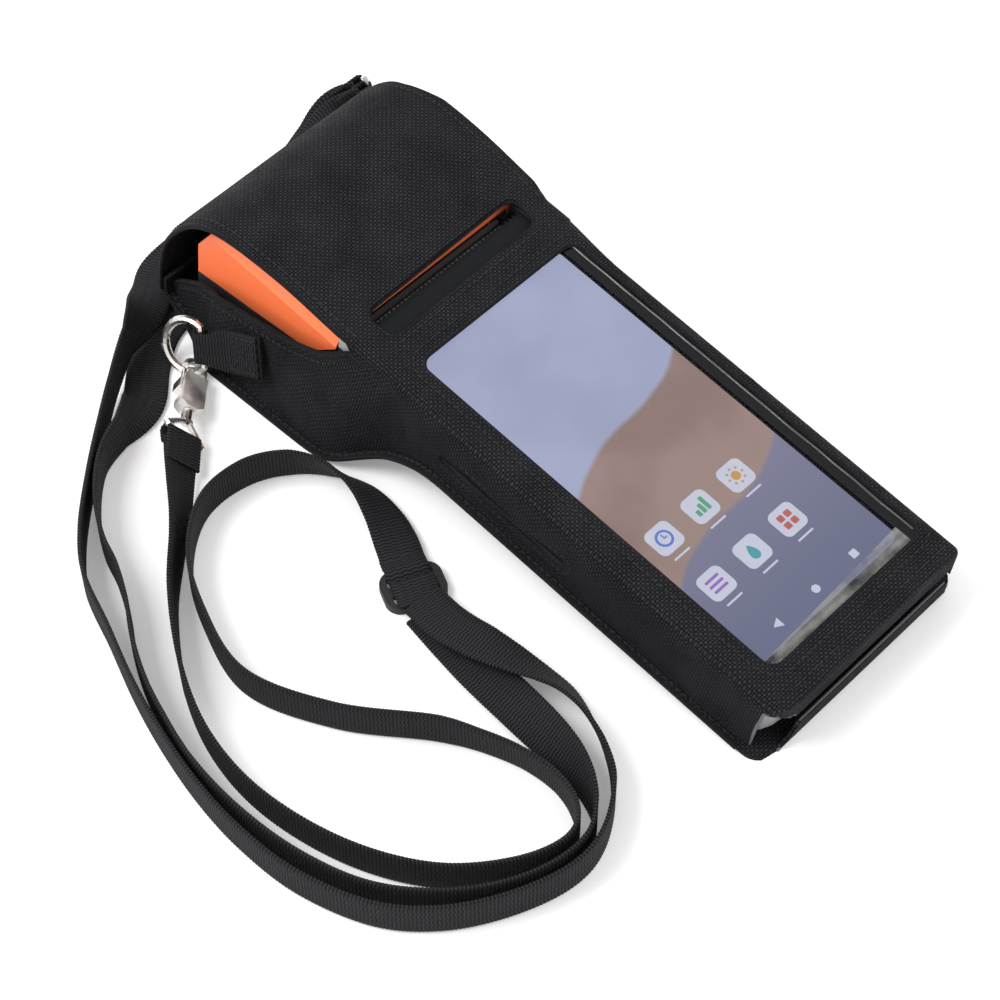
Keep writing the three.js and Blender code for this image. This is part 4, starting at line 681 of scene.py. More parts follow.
class Stitches:
    """Rows of sewn stitches that end up as one mesh."""

    def __init__(self):
        self.points, self.faces = [], []

    def row(self, path, out, pitch=STITCH_PITCH, length=1.8, radius=0.28, closed=False):
        places = resampled(path, pitch, closed)
        out = np.asarray(out, float)
        ahead = (np.roll(places, -1, 0) - places) if closed else np.gradient(places, axis=0)
        for i, (p, t) in enumerate(zip(places, unit(ahead))):
            n = out if out.ndim == 1 else out[min(i, len(out) - 1)]
            n = unit(n - t * (n @ t))
            side = np.cross(t, n)
            first = len(self.points)
            for along, size in ((-0.5, 0.35), (-0.3, 0.9), (0.0, 1.0), (0.3, 0.9), (0.5, 0.35)):
                centre = p + t * along * length + n * radius * (0.45 - 1.2 * along * along)
                for k in range(6):
                    a = k * math.pi / 3
                    self.points.append(centre + (side * math.cos(a) * 1.15 + n * math.sin(a)) * radius * size)
            self.faces += grid_faces(5, 6, first, closed=True)
            self.faces += [[first + k for k in range(6)], [first + 24 + k for k in range(6)]]

    def mesh(self, name):
        return make_mesh(name, to_row(self.points), self.faces, sharp=80)


# Heights and widths of the case along its length, as in the CAD
def floor_line(y):
    return -FOOT_DEPTH - math.tan(TILT) * (y - FOOT_Y)


def eased(points, reach, steps=6):
    """A line of points with its corners rounded off, as far as reach from each."""
    result = [points[0]]
    for before, corner, after in zip(points, points[1:], points[2:]):
        b, c, a = (np.array(p, float) for p in (before, corner, after))
        start, end = (c + unit(p - c) * min(reach, np.linalg.norm(p - c) / 2) for p in (b, a))
        for k in range(steps + 1):
            t = k / steps
            result.append(tuple(start * (1 - t) ** 2 + c * 2 * t * (1 - t) + end * t * t))
    result.append(points[-1])
    return [p for i, p in enumerate(result) if i == 0 or math.dist(p, result[i - 1]) > 0.05]


def back_path():
    heel_y = BELLY_END_Y + (BACK_END_Y - BELLY_END_Y) * HEEL_SHARE
    corner_z = floor_line(BACK_END_Y) - BACK_END_TOP
    return [
        (FOOT_Y, -FOOT_DEPTH), (NECK_Y, -FOOT_DEPTH), (HUMP_Y, floor_line(HUMP_Y)),
        (BELLY_END_Y, floor_line(BELLY_END_Y)), (heel_y, floor_line(BELLY_END_Y) + FABRIC),
        (BACK_END_Y, BACK_END_TOP + corner_z * HEEL_SHARE), (BACK_END_Y, BACK_END_TOP),
    ]


BACK_LINE = np.array(eased(back_path(), 2 * CREASE))
FALL = BACK_LINE[BACK_LINE[:, 0] < BACK_END_Y - 1]


def back_height(y, inset=FABRIC + GAP):
    return float(np.interp(y, FALL[:, 0], FALL[:, 1])) + inset


def smooth(t):
    t = min(1.0, max(0.0, t))
    return t * t * (3 - 2 * t)


def case_widths(y):
    widen = smooth((y - NECK_Y) / (HUMP_Y - NECK_Y))
    flare_y = NECK_Y + (HUMP_Y - NECK_Y) * 0.35
    flare = smooth((y - flare_y) / (HUMP_Y - flare_y))
    tail = math.sqrt(min(1.0, max(0.0, (y - BELLY_END_Y) / (EAR_END_Y - BELLY_END_Y))))
    low = FOOT_FLARE + (HUMP_FLARE - FOOT_FLARE) * flare - tail * TAIL_SHARE * HUMP_FLARE
    left = WALL_LEFT + (HUMP_WALL - WALL_LEFT) * widen
    right = WALL_RIGHT + (HUMP_WALL - WALL_RIGHT) * widen
    return left, right, low


def case_half(y, side):
    """How far the case reaches on one side at its front, and how much further at its floor."""
    left, right, low = case_widths(y)
    return (left if side < 0 else right), low


def wall_point(y, z, side, out=0.0):
    """A point of the wall's outer face at height z; side is -1 for left."""
    half, low = case_half(y, side)
    share = (-CREASE - z) / max(-CREASE - back_height(y), 1e-6)
    return (side * (half + low * share + out), y, z)


def ripple(x, y, z, size, amount, seed=0.0):
    return noise.noise(Vector((x / size + seed, y / size, z / size))) * amount


def case_ring(y, inset=0.0):
    """Outer outline of the case across y, from the left wall's foot over the front to the right wall's foot."""
    left, right, low = case_widths(y)
    bottom, r = back_height(y), max(CREASE - inset, 0.4)
    ring = []
    for k in range(13):
        t = k / 13
        z = bottom + (-inset - r - bottom) * t
        ring.append((-left - low * (1 - t) + inset, z))
    for k in range(8):
        a = math.pi / 2 * k / 7
        ring.append((-left + inset + r * (1 - math.cos(a)), -inset - r * (1 - math.sin(a))))
    start, end = -left + inset + r, right - inset - r
    for k in range(1, 42):
        ring.append((start + (end - start) * k / 42, -inset))
    for k in range(8):
        a = math.pi / 2 * k / 7
        ring.append((right - inset - r * (1 - math.sin(a)), -inset - r * (1 - math.cos(a))))
    for k in range(1, 14):
        t = k / 13
        z = -inset - r + (bottom + inset + r) * t
        ring.append((right + low * t - inset, z))
    return ring


def window_fade(x, y):
    """0 at the window's edge, 1 well away from it."""
    dx, dy = abs(x - WINDOW_X) - WINDOW_W / 2, abs(y - WINDOW_Y) - WINDOW_L / 2
    return smooth(max(dx, dy) / 6)


def front_ripple(x, y):
    """How far the front stands off its flat plane: slow waves, and puckers along its sewn right edge."""
    pucker = ripple(x, y, 4.0, 5.0, 0.9, 21.0) * smooth((x - 38) / 3)
    return ripple(x, y, 0, 26, 0.35) * window_fade(x, y) + pucker


def front_fade(y):
    start = FOLD_Y + FOLD_R
    return min(smooth((y - start) / 10), smooth((COVER_SPLIT_Y - y) / 12))


def front_grid():
    rows = []
    for inset in (LIP_H, 10.5, 9.2, 7.4, 5.6, 4.0):
        rows.append([(x, FOLD_Y, z) for x, z in case_ring(FOOT_Y, inset)])
    for k in range(6):
        a = math.pi / 2 * k / 6
        y = FOLD_Y + FOLD_R * (1 - math.cos(a))
        rows.append([(x, y, z) for x, z in case_ring(y, FOLD_R * (1 - math.sin(a)))])
    for y in np.linspace(FOLD_Y + FOLD_R, COVER_SPLIT_Y, 88):
        fade = front_fade(y)
        row = []
        for x, z in case_ring(y):
            if z > -1.5:
                z += front_ripple(x, y) * fade
            else:
                x += math.copysign(0.25 + ripple(x, y, z, 17, 1.1, 3.0), x) * fade * smooth((-z - 2) / 8)
            row.append((x, y, z))
        rows.append(row)
    return rows


def window_outline(out=0.0):
    return rounded_rect(WINDOW_W + 2 * out, WINDOW_L + 2 * out, WINDOW_R + out, WINDOW_X, WINDOW_Y)


def slot_outline():
    return [(x, y + x * SLOT_TURN) for x, y in rounded_rect(SLOT_W, SLOT_L, SLOT_R, SLOT_X, SLOT_Y)]


# What is cut off the front at its lower left corner: across its end, and in plan
ARCH = (
    (-60, -3.4), (-45.4, -3.8), (-43.5, -4.6), (-40, -6.6), (-36.5, -8.2), (ARCH_X, -10), (ARCH_X, -60),
    (-60, -60),
)
FOOT_ROUNDING = (
    (-60, WALL_END_Y), (-45.4, WALL_END_Y), (-44.8, -85.6), (-43, -87.6), (-40.4, -88.9), (-37, -89.6), (-37, -96),
    (-60, -96),
)


def add_front():
    """The front with both walls as far as the flap, in one wrapped piece."""
    obj = add_piece("case_front", sheet_mesh("case_front", front_grid(), FABRIC), FABRIC_LOOK)
    foot = FOLD_Y - 5
    left, right = 1.5 - WALL_LEFT, WALL_RIGHT - 1.5
    below = [(left, -LIP_H), (right, -LIP_H), (right, -60), (left, -60)]
    right_end = rounded_rect(20, 50, 3.0, 49.5, -41)
    cut_by(obj, [
        prism_mesh("window", window_outline(), -4.5, 12),
        prism_mesh("slit", rounded_rect(SLIT_L, SLIT_H, 1.2, SLIT_Y, SLIT_Z), -60, -38, axis=0),
        prism_mesh("below", below, foot, FOLD_Y + 6, axis=1),
        prism_mesh("arch", ARCH, foot, WALL_END_Y, axis=1),
        prism_mesh("rounding", FOOT_ROUNDING, -60, 5),
        prism_mesh("right_end", right_end, foot, WALL_END_Y - 1, axis=1),
    ])
    box_map(obj.data)
    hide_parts("case_front_panel")


# The flap: its line from the fold over the lid and down the far end
FLAP_SHARES = ((0.12, 0.3), (0.3, 0.82), (0.47, 1), (0.62, 0.85), (0.74, 0.2))
TAIL_SHARES = ((0.825, 0.09), (0.905, 0.26), (0.973, 0.49), (1, 0.74))


def flap_line():
    start = FLAP_Y + 0.15
    run = FLAP_END_Y - start
    points = [(COVER_SPLIT_Y, 0), (92, 0), (start, 0)]
    points += [(start + run * a, FLAP_RISE * b) for a, b in FLAP_SHARES]
    points += [(start + run * a, -FLAP_DROP * b) for a, b in TAIL_SHARES]
    points.append((FLAP_END_Y, -FLAP_DROP))
    line = np.array(eased(points, 7, 5))
    flat = np.stack([np.zeros(len(line)), line[:, 0], line[:, 1]], -1)
    return resampled(flat, 1.5)


def flap_half(y, side):
    share = (y - 89) / 89.9
    if side < 0:
        return HUMP_WALL * float(np.interp(share, (0, 0.4, 0.8, 1.2), (0.985, 1, 1.04, 1.045)))
    return HUMP_WALL * float(np.interp(share, (0, 0.62, 0.8, 1.2), (1, 1.01, 0.94, 0.95)))


def flap_grid():
    rows = []
    line = flap_line()
    tangent = unit(np.gradient(line, axis=0))
    straight = HUMP_WALL - CREASE
    wrap = straight + CREASE * math.pi / 2
    for (_, y, z), (_, ty, tz), s in zip(line, tangent, travelled(line)):
        up = np.array((0, -tz, ty))
        freed = smooth((y - 93.6) / 2.2) if z > -2 else 1.0
        flat_share = smooth((y - 93) / 9) if z > -2 else 1.0
        row = []
        for k in range(-30, 31):
            side = -1 if k < 0 else 1
            half = wrap + (flap_half(y, side) - wrap) * freed
            d = abs(k) / 30 * half
            bent = max(0.0, d - straight) / CREASE
            reach = min(d, straight) + CREASE * math.sin(bent)
            curled = np.array((reach, y, z - CREASE * (1 - math.cos(bent))))
            droop = max(0.0, d - half + 9) / 9
            flat = np.array((d, y, z)) - up * droop * droop * 0.9
            p = curled + (flat - curled) * flat_share
            p[0] *= side
            p += up * ripple(p[0], s, 0, 30, 0.45, 7.0) * smooth((s - 8) / 12)
            row.append(p)
        rows.append(row)
    return np.array(rows)


def add_flap():
    """The cover over the lid, with the slot for the receipt, from in front of the fold over the lid and down the
    far end.
    """
    grid = flap_grid()
    obj = add_piece("case_cover", sheet_mesh("case_cover", grid, FABRIC), FABRIC_LOOK, rides=False)
    cut_by(obj, [prism_mesh("slot", slot_outline(), -4, 12)])
    box_map(obj.data)
    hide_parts("case_flap")
    bend_with_flap(obj)
    return grid


def bend_with_flap(obj):
    """Bakes the cloth's place into its mesh; it rides with neither the terminal nor the flap."""
    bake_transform(obj)


# The sides of the hump, under the open hem
HEM_SHARES = (
    (0.0, 0.02), (0.03, 0.04), (0.05, 0.15), (0.12, 0.25), (0.29, 0.37), (0.46, 0.44), (0.68, 0.53), (0.83, 0.65),
    (0.95, 0.84), (1, 0.93), (1.05, 1.07),
)
EAR_TIP_Y = 180


def hem_height(y):
    length, depth = EAR_END_Y - FLAP_Y, -floor_line(HUMP_Y)
    ys = [FLAP_Y + length * a for a, _ in HEM_SHARES]
    zs = [-FABRIC - depth * b for _, b in HEM_SHARES]
    return min(-CREASE, float(np.interp(y, ys, zs))) if y > FLAP_Y else -CREASE


def hem_line():
    """The hem's heights along the hump, with their corners smoothed out."""
    ys = np.linspace(FLAP_Y, EAR_TIP_Y, 90)
    zs = np.array([hem_height(y) for y in ys])
    for _ in range(10):
        zs[1:-1] = (zs[:-2] + 2 * zs[1:-1] + zs[2:]) / 4
    return ys, zs


def hem_at(y):
    return float(np.interp(y, HEM_Y, HEM_Z))


HEM_Y, HEM_Z = hem_line()


def side_grid(side):
    rows = []
    for y in np.linspace(COVER_SPLIT_Y, EAR_TIP_Y, 60):
        top, bottom = hem_at(y), back_height(y)
        fade = smooth((y - COVER_SPLIT_Y) / 10)
        row = []
        for k in range(19):
            z = bottom + (top - bottom) * k / 18
            x, _, _ = wall_point(y, z, side)
            x += side * (0.2 + ripple(x, y, z, 20, 1.0, 11.0)) * fade * (1 - (k / 18) ** 6 * 0.4)
            row.append((x, y, z))
        rows.append(row)
    return rows


def add_sides():
    for side, name in ((-1, "left"), (1, "right")):
        mesh = sheet_mesh(f"case_ear_{name}", side_grid(side), FABRIC, flip=side > 0)
        box_map(mesh)
        obj = add_piece(f"case_ear_{name}", mesh, FABRIC_LOOK)
        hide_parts(f"case_side_{name}")


def add_back():
    """The back from the lip at the foot, under the belly and up the far end."""
    line = [(BACK_LIP_Y, -FOOT_DEPTH + BACK_LIP_H), (BACK_LIP_Y, -FOOT_DEPTH)] + [tuple(p) for p in BACK_LINE[1:]]
    line = np.array(eased(line, 2.4, 4))
    flat = np.stack([np.zeros(len(line)), line[:, 0], line[:, 1]], -1)
    rows = []
    for _, y, z in resampled(flat, 1.5):
        left, right, low = case_widths(y)
        corner = min(FOOT_CORNER_R, max(0.0, BACK_LIP_Y + FOOT_CORNER_R - y))
        trim = FOOT_CORNER_R - math.sqrt(max(0.0, FOOT_CORNER_R ** 2 - corner ** 2))
        edge_left, edge_right = -left - low - FLANGE + trim, right + low + FLANGE - trim
        rise = (z + FOOT_DEPTH) / BACK_LIP_H
        if y < BACK_LIP_Y + FABRIC and rise > 0.02:
            edge_left = -BACK_LIP_X + BACK_LIP_R * math.sin(min(1.0, rise) * math.pi / 2)
            edge_right = min(edge_right, BACK_LIP_X - 3.5 * min(1.0, rise) ** 2)
        rows.append([(edge_left + (edge_right - edge_left) * k / 60, y, z) for k in range(61)])
    obj = add_piece("case_back", sheet_mesh("case_back", rows, FABRIC, flip=True), FABRIC_LOOK)
    hole = rounded_rect(2 * CAMERA_R, 2 * CAMERA_R, CAMERA_R, TERMINAL_DX, CAMERA_Y)
    cut_by(obj, [prism_mesh("camera_hole", hole, -70, -10)])
    box_map(obj.data)
    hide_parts("case_back_panel")


# Straps: the routes of the CAD, in millimetres along the row frame's axes, with the lean of the width in degrees
ROUTE_FIRST = [
    (-91.4, 130.2, 8.6, 43), (-97, 124.4, 8.2, 37), (-103, 117.9, 8, 30), (-112.5, 107.5, 8, 20),
    (-119.5, 101, 7.9, 12), (-135, 86, 7.9, 5), (-153, 61, 7.9, 0), (-163, 37.5, 7.9, 0),
    (-166, 12, 7.9, 0), (-160, -20, 7.9, 0), (-147, -44.5, 7.9, 0), (-130.5, -59, 7.9, 0),
    (-118.5, -64.5, 7.9, 0), (-111.5, -65, 7.9, 0), (-106, -62.5, 7.9, 0), (-102, -57, 7.9, 0),
    (-99.5, -47.5, 7.9, -4), (-100.5, -34.5, 7.9, -6), (-105, -20.5, 7.9, -5), (-110.5, -9, 7.9, 0),
    (-129.5, 18, 7.9, 0), (-140, 47.5, 7.9, 0), (-133, 73, 7.9, 0), (-121, 93.5, 7.9, 0),
    (-102.5, 106.5, 7.9, 0), (-84.5, 106.5, 7.9, 0), (-71.5, 99, 7.9, 5), (-64.5, 88, 7.9, 20),
    (-62, 75, 6.8, 45), (-64, 63, 4.9, 65), (-68, 53, 3.2, 85), (-72.35, 44.85, 2.6, 90),
]
ROUTE_UPPER = [
    (-78.6, 30.8, 4.3, 90), (-80.3, 16.5, 6.6, 90), (-79.3, 4, 8.6, 84), (-77, -8, 9, 66),
    (-74.6, -18, 8.5, 48), (-73.5, -27, 8.2, 36), (-75.5, -38, 7.9, 20), (-80.5, -50, 7.9, 8),
    (-87.5, -60, 7.9, 0), (-95.5, -66.5, 7.9, 0), (-104, -71, 7.9, 0), (-112.5, -73, 7.9, 0),
    (-123.5, -72, 7.9, 0), (-141.5, -65, 7.9, 0), (-157, -54.5, 7.9, 0), (-169, -40, 7.9, 0),
    (-177.5, -15.5, 7.9, 0), (-179, 8.5, 7.9, 0), (-177, 28.5, 7.9, 0), (-172.5, 49, 7.9, 0),
    (-166.5, 68.5, 7.9, 0), (-158, 90, 7.9, 0), (-149.5, 111.5, 7.9, 0), (-139.5, 124.5, 7.9, 0),
    (-122, 140.5, 7.9, 0), (-106.5, 153, 7.9, 0), (-90, 165.2, 8.8, 0), (-75, 174.6, 10.6, -4),
    (-65.5, 179.6, 9.4, -35), (-58, 184.4, 6.8, -65), (-50.5, 190, 4, -86), (-42, 196.5, 2, -90),
    (-30, 199, 1.2, -90), (-4, 199, 1.2, -90), (24, 199.5, 1.2, -90), (41, 203.5, 2.4, -84),
    (52, 205.4, 5.4, -52), (62.4, 202.7, 8.6, 0),
]
ROUTE_LOWER = [
    (-79.9, 28.2, 1.5, -88), (-83, 11, 3, -80), (-85, -1.5, 4.2, -72), (-87, -20.5, 5.4, -62),
    (-89, -36, 6.6, -46), (-91.3, -47.5, 7.5, -28), (-95, -57, 7.9, -12), (-100, -64, 7.9, 0),
    (-107, -68.3, 7.9, 0), (-114.5, -69.3, 7.9, 0), (-125.5, -67.5, 7.9, 0), (-139, -61.5, 7.9, 0),
    (-153, -50.5, 7.9, 0), (-165.5, -33.5, 7.9, 0), (-172.5, -11, 7.9, 0), (-174.5, 13.5, 7.9, 0),
    (-172.5, 36, 7.9, 0), (-167.5, 54.5, 7.9, 0), (-163, 67, 7.9, 0), (-155.5, 81.5, 7.9, 0),
    (-147, 94, 7.9, 0), (-140.5, 106, 7.9, 0), (-136, 117.5, 7.9, 0), (-127, 131.5, 7.9, 0),
    (-113.5, 144, 7.9, 0), (-101, 149, 7.7, -10), (-92, 152.2, 6.2, -42), (-84, 157.2, 2.6, -80),
    (-74, 166.6, 1, -90), (-61.5, 175.4, 1, -90), (-46, 179.5, 1, -90), (-28, 181.5, 1.6, -90),
    (-12, 187, 3.2, -90), (6, 193.5, 3.2, -90), (26, 197.5, 3.2, -90), (40, 200.8, 4.4, -80),
    (50.5, 200.8, 7, -44), (60.5, 199, 9.1, 0),
]


def route_curve(route, per_span=40):
    """Points and leans of a centripetal curve through the route, in row metres, as the CAD draws it."""
    pts = np.array([[x, y + SHIFT_Y, z] for x, y, z, _ in route], float) * MM
    lean = np.array([r[3] for r in route], float)
    places, leans = [], []
    count = len(pts)
    for i in range(count - 1):
        p1, p2 = pts[i], pts[i + 1]
        p0 = pts[i - 1] if i > 0 else 2 * p1 - p2
        p3 = pts[i + 2] if i + 2 < count else 2 * p2 - p1
        d0, d1, d2 = (max(np.linalg.norm(b - a), 1e-9) ** 0.5 for a, b in ((p0, p1), (p1, p2), (p2, p3)))
        m1 = ((p1 - p0) / d0 - (p2 - p0) / (d0 + d1) + (p2 - p1) / d1) * d1
        m2 = ((p2 - p1) / d1 - (p3 - p1) / (d1 + d2) + (p3 - p2) / d2) * d1
        for k in range(per_span + (i == count - 2)):
            w = k / per_span
            c2, c3 = -3 * p1 + 3 * p2 - 2 * m1 - m2, 2 * p1 - 2 * p2 + m1 + m2
            places.append(p1 + m1 * w + c2 * w * w + c3 * w ** 3)
            leans.append(lean[i] + (lean[i + 1] - lean[i]) * w)
    return np.array(places), np.array(leans)


def leaning(tangent, lean):
    """The way a strap's width lies, from the way it runs and its lean in radians."""
    side = unit(np.cross(tangent, (0, 0, 1)))
    return np.cross(side, tangent) * np.cos(lean) + side * np.sin(lean)


STRAP_SECTION = (
    (-1, 0), (-0.985, 0.62), (-0.93, 1), (-0.5, 1), (0, 1), (0.5, 1), (0.93, 1), (0.985, 0.62),
    (1, 0), (0.985, -0.62), (0.93, -1), (0.5, -1), (0, -1), (-0.5, -1), (-0.93, -1), (-0.985, -0.62),
)


def ribbon_mesh(name, line, width, thick, at, half_w, half_t):
    """Webbing along points in metres, with a rib every RIB millimetres; at is the distance travelled."""
    rib = np.abs(np.sin(at / MM * math.pi / RIB))
    half_w = half_w + SCALLOP * MM * (rib - 1)
    half_t = half_t + RIB_DEPTH * MM * (rib - 1)
    section = np.array(STRAP_SECTION)
    points = (line[:, None] + width[:, None] * section[None, :, :1] * half_w[:, None, None]
              + thick[:, None] * section[None, :, 1:] * half_t[:, None, None])
    rows, columns = points.shape[:2]
    faces = grid_faces(rows, columns, closed=True) + end_faces(rows, columns)
    u = (section[None, :, 0] * half_w[:, None] / MM).ravel()
    return make_mesh(name, points.reshape(-1, 3), faces, np.stack([u, np.repeat(at / MM, columns)], -1), sharp=50)


def add_strap(name, node, route, with_pieces):
    """Woven strap with real ribs and scalloped edges along its route."""
    places, leans = route_curve(route)
    length = travelled(places)
    total = length[-1]
    at = np.linspace(0, total, int(total / (RIB * MM / 4)) + 1)
    line = np.stack([np.interp(at, length, places[:, k]) for k in range(3)], -1)
    tangent = unit(np.gradient(line, axis=0))
    width = leaning(tangent, np.radians(np.interp(at, length, leans))[:, None])
    mesh = ribbon_mesh(name, line, width, np.cross(width, tangent), at, STRAP_W / 2 * MM, STRAP_T / 2 * MM)
    obj = add_piece(name, mesh, WEBBING_LOOK)
    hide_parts(node)
    return line


def add_webbing(name, path, width, half_w):
    """A short ribbed piece of webbing along row points, with its width in one direction throughout."""
    places = resampled(np.array(path), RIB / 4 * MM)
    tangent = unit(np.gradient(places, axis=0))
    count = len(places)
    mesh = ribbon_mesh(name, places, np.tile(width, (count, 1)), unit(np.cross(width, tangent)),
                       np.arange(count) * RIB / 4 * MM, half_w * MM, FOLD_T / 2 * MM)
    return add_piece(name, mesh, WEBBING_LOOK)


def add_fold(name, line, eye, width):
    """The end of a strap round the bar of its hook's eye; line starts at the eye, in metres."""
    ahead = unit(line[8] - line[0])
    eye_points = np.array([v.co for v in nodes[eye].data.vertices])
    bar = eye_points[np.linalg.norm(eye_points - line[0], axis=1) < 4.6 * MM]
    centre = line[0] + ahead * (((bar.min(0) + bar.max(0)) / 2 - line[0]) @ ahead)
    thick = unit(np.cross(width, ahead))
    if thick[2] < 0:
        thick = -thick
    start = (line[0] - centre) @ ahead
    path = [centre + ahead * (start + a * MM) + thick * b * MM for a, b in ((9, 1.3), (2, 1.6))]
    for k in range(1, 12):
        a = math.radians(90 + 15 * k)
        path.append(centre + (ahead * math.cos(a) + thick * math.sin(a)) * 2.0 * MM)
    path.append(centre + ahead * (start + 1.5 * MM) - thick * 1.2 * MM)
    add_webbing(name, path, width, STRAP_W / 2 - 0.1)


SLIDER_X = -76
SLIDER_Y = 37.2
SLIDER_HEADING = (-0.43, -0.9)
LAP_LINE = (
    (-12.5, 2.75), (-10, 3.2), (-7.4, 4.0), (-6, 4.0), (-4.6, 3.1), (-3.6, 2.2), (-2.6, 3.0), (-1.5, 4.0),
    (0, 4.1), (4, 4.0), (6, 4.1), (8.2, 4.4),
)


def add_lap():
    """The webbing over the slider: over its rim, down its first slot, and over its bar and the other rim."""
    heading = unit((*SLIDER_HEADING, 0))
    middle = np.array((SLIDER_X, SLIDER_Y + SHIFT_Y, 0))
    path = np.array([middle + heading * s + np.array((0, 0, z)) for s, z in eased(list(LAP_LINE), 1.2, 3)]) * MM
    return add_webbing("strap_lap", path, np.cross(heading, (0, 0, 1)), STRAP_W / 2 - 0.05)


SINGLE = add_strap("neck_strap_single", "strap_single", ROUTE_FIRST, [nodes["strap_slider"], add_lap()])
UPPER = add_strap("neck_strap_upper", "strap_loop_upper", ROUTE_UPPER, [])
LOWER = add_strap("neck_strap_lower", "strap_loop_lower", ROUTE_LOWER, [])


def width_at(route, end):
    """The direction of a strap's width at its start or end, in the row frame."""
    places, leans = route_curve(route)
    first, second, lean = (places[0], places[1], leans[0]) if end == 0 else (places[-2], places[-1], leans[-1])
    return leaning(unit(second - first), math.radians(lean))


add_fold("strap_fold_left", SINGLE, "hook_eye_left", width_at(ROUTE_FIRST, 0))
add_fold("strap_fold_upper", UPPER[::-1], "hook_eye_right", width_at(ROUTE_UPPER, -1))
add_fold("strap_fold_lower", LOWER[::-1], "hook_eye_right", width_at(ROUTE_LOWER, -1))

add_front()
FLAP_GRID = add_flap()
add_sides()
add_back()


# The tabs that hold the rings: webbing folded round the ring's bar, both ends sewn to the wall
RING_X = 60
RING_Y = 148.6
RING_Z = -45.4
RING_NORMAL = (-0.87, -0.11, 0.48)
RING_BAR_WAY = (-0.34, -0.52, -0.78)
TAB_W = 15
TAB_L = 27
TAB_FOLD_W = 11
TAB_EYE_R = 2.65
TAB_T = 1.2
TAB_BACK = 2.75
TAB_WAY = (2, -23.3, 12.3)


def tab_frame(side):
    """The middle of the ring's bar, and the tab's directions: along it, across it and away from the wall."""
    mirror = np.array((-side, 1, 1))
    normal = unit(RING_NORMAL)
    bar = np.array(RING_BAR_WAY)
    across = unit(bar - normal * (bar @ normal)) * mirror
    lean = math.atan(HUMP_FLARE / -floor_line(HUMP_Y))
    face = np.array((side * math.cos(lean), 0, math.sin(lean)))
    along = -unit((-side * TAB_WAY[0], TAB_WAY[1], TAB_WAY[2]))
    along = unit(along - across * (along @ across))
    up = unit(np.cross(along, across))
    return np.array((side * RING_X, RING_Y, RING_Z)), along, across, up * math.copysign(1, up @ face)


def add_tab(side, name, stitches):
    """Webbing folded round the bar of a ring, narrower there, and the crossed box of stitches that holds it."""
    centre, along, across, up = tab_frame(side)
    path = [(-TAB_L, -TAB_BACK), (-14, -TAB_BACK)]
    for k in range(0, 13):
        a = math.radians(-90 + 15 * k)
        path.append((TAB_EYE_R * math.cos(a), TAB_EYE_R * math.sin(a)))
    path += [(-6, 1.1), (-10.5, -0.9), (-13, -TAB_BACK + 1.3), (-TAB_L + 0.8, -TAB_BACK + 1.3)]
    flat = np.array(eased(path, 2.0, 4))
    places = resampled(np.stack([flat[:, 0], np.zeros(len(flat)), flat[:, 1]], -1), RIB / 4)
    line = centre + places[:, :1] * along + places[:, 2:] * up
    tangent = unit(np.gradient(line, axis=0))
    half = np.interp(places[:, 0], (-TAB_L, -11, -3, 4), (TAB_W / 2, TAB_W / 2, TAB_FOLD_W / 2, TAB_FOLD_W / 2))
    at = np.arange(len(line)) * RIB / 4 * MM
    width, thick = turned(np.tile(across, (len(line), 1))), turned(np.cross(across, tangent))
    mesh = ribbon_mesh(f"ring_strap_{name}", to_row(line), width, thick, at, half * MM, TAB_T / 2 * MM)
    obj = add_piece(f"ring_strap_{name}", mesh, TAB_LOOK)
    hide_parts(f"ring_tab_{name}")
    top = centre + up * (-TAB_BACK + 1.3 + TAB_T / 2)
    near, far, wide = -TAB_L + 2.2, -13.2, TAB_W / 2 - 1.8
    box = [top + along * a + across * b for a, b in ((near, -wide), (far, -wide), (far, wide), (near, wide))]
    stitches.row(np.array(box), up, 2.4, 1.7, 0.3, closed=True)
    for first, last in ((0, 2), (1, 3)):
        stitches.row(np.array([box[first], box[last]]), up, 2.4, 1.7, 0.3)


def turned(directions):
    """Device directions in the row frame."""
    return unit(to_row(directions) - to_row((0, 0, 0)))


TAB_STITCHES = Stitches()
add_tab(-1, "left", TAB_STITCHES)
add_tab(1, "right", TAB_STITCHES)
add_piece("tab_stitches", TAB_STITCHES.mesh("tab_stitches"), THREAD_LOOK)


# Tape on the case's far end and inside the flap, and the paper roll
PATCH_W = 64
PATCH_H = 9
PATCH_T = 1.4
PATCH_TOP = BACK_END_TOP - GAP


def add_patch(name, node, y, facing, body):
    """Tape with a sewn rim and a field of stubble that faces along y."""
    across, down = 160, 30
    rows = []
    for i in range(down + 1):
        row = []
        for j in range(across + 1):
            a, b = j / across, i / down
            rim = min(a * PATCH_W, (1 - a) * PATCH_W, b * PATCH_H, (1 - b) * PATCH_H)
            stub = (math.cos(j * math.pi * 0.8) * math.cos(i * math.pi * 0.8) + 1) / 2
            height = 0.65 + 0.15 * stub if rim > 0.7 else 0.5
            row.append((PATCH_W * (a - 0.5), y + facing * PATCH_T * height * 0.9, PATCH_TOP - PATCH_H * b))
        rows.append(row)
    obj = add_piece(name, sheet_mesh(name, rows, PATCH_T * 0.5, flip=facing < 0), TAPE_LOOK, body)
    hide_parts(node)


add_patch("back_tape", "loop_patch", BACK_END_Y + GAP, 1, "terminal")
add_patch("flap_tape", "hook_patch", FLAP_END_Y - FABRIC - GAP, -1, "flap")

ROLL_X = TERMINAL_DX
ROLL_Y = 140
ROLL_Z = -27
ROLL_R = 20
ROLL_BORE = 7.3
ROLL_W = 57


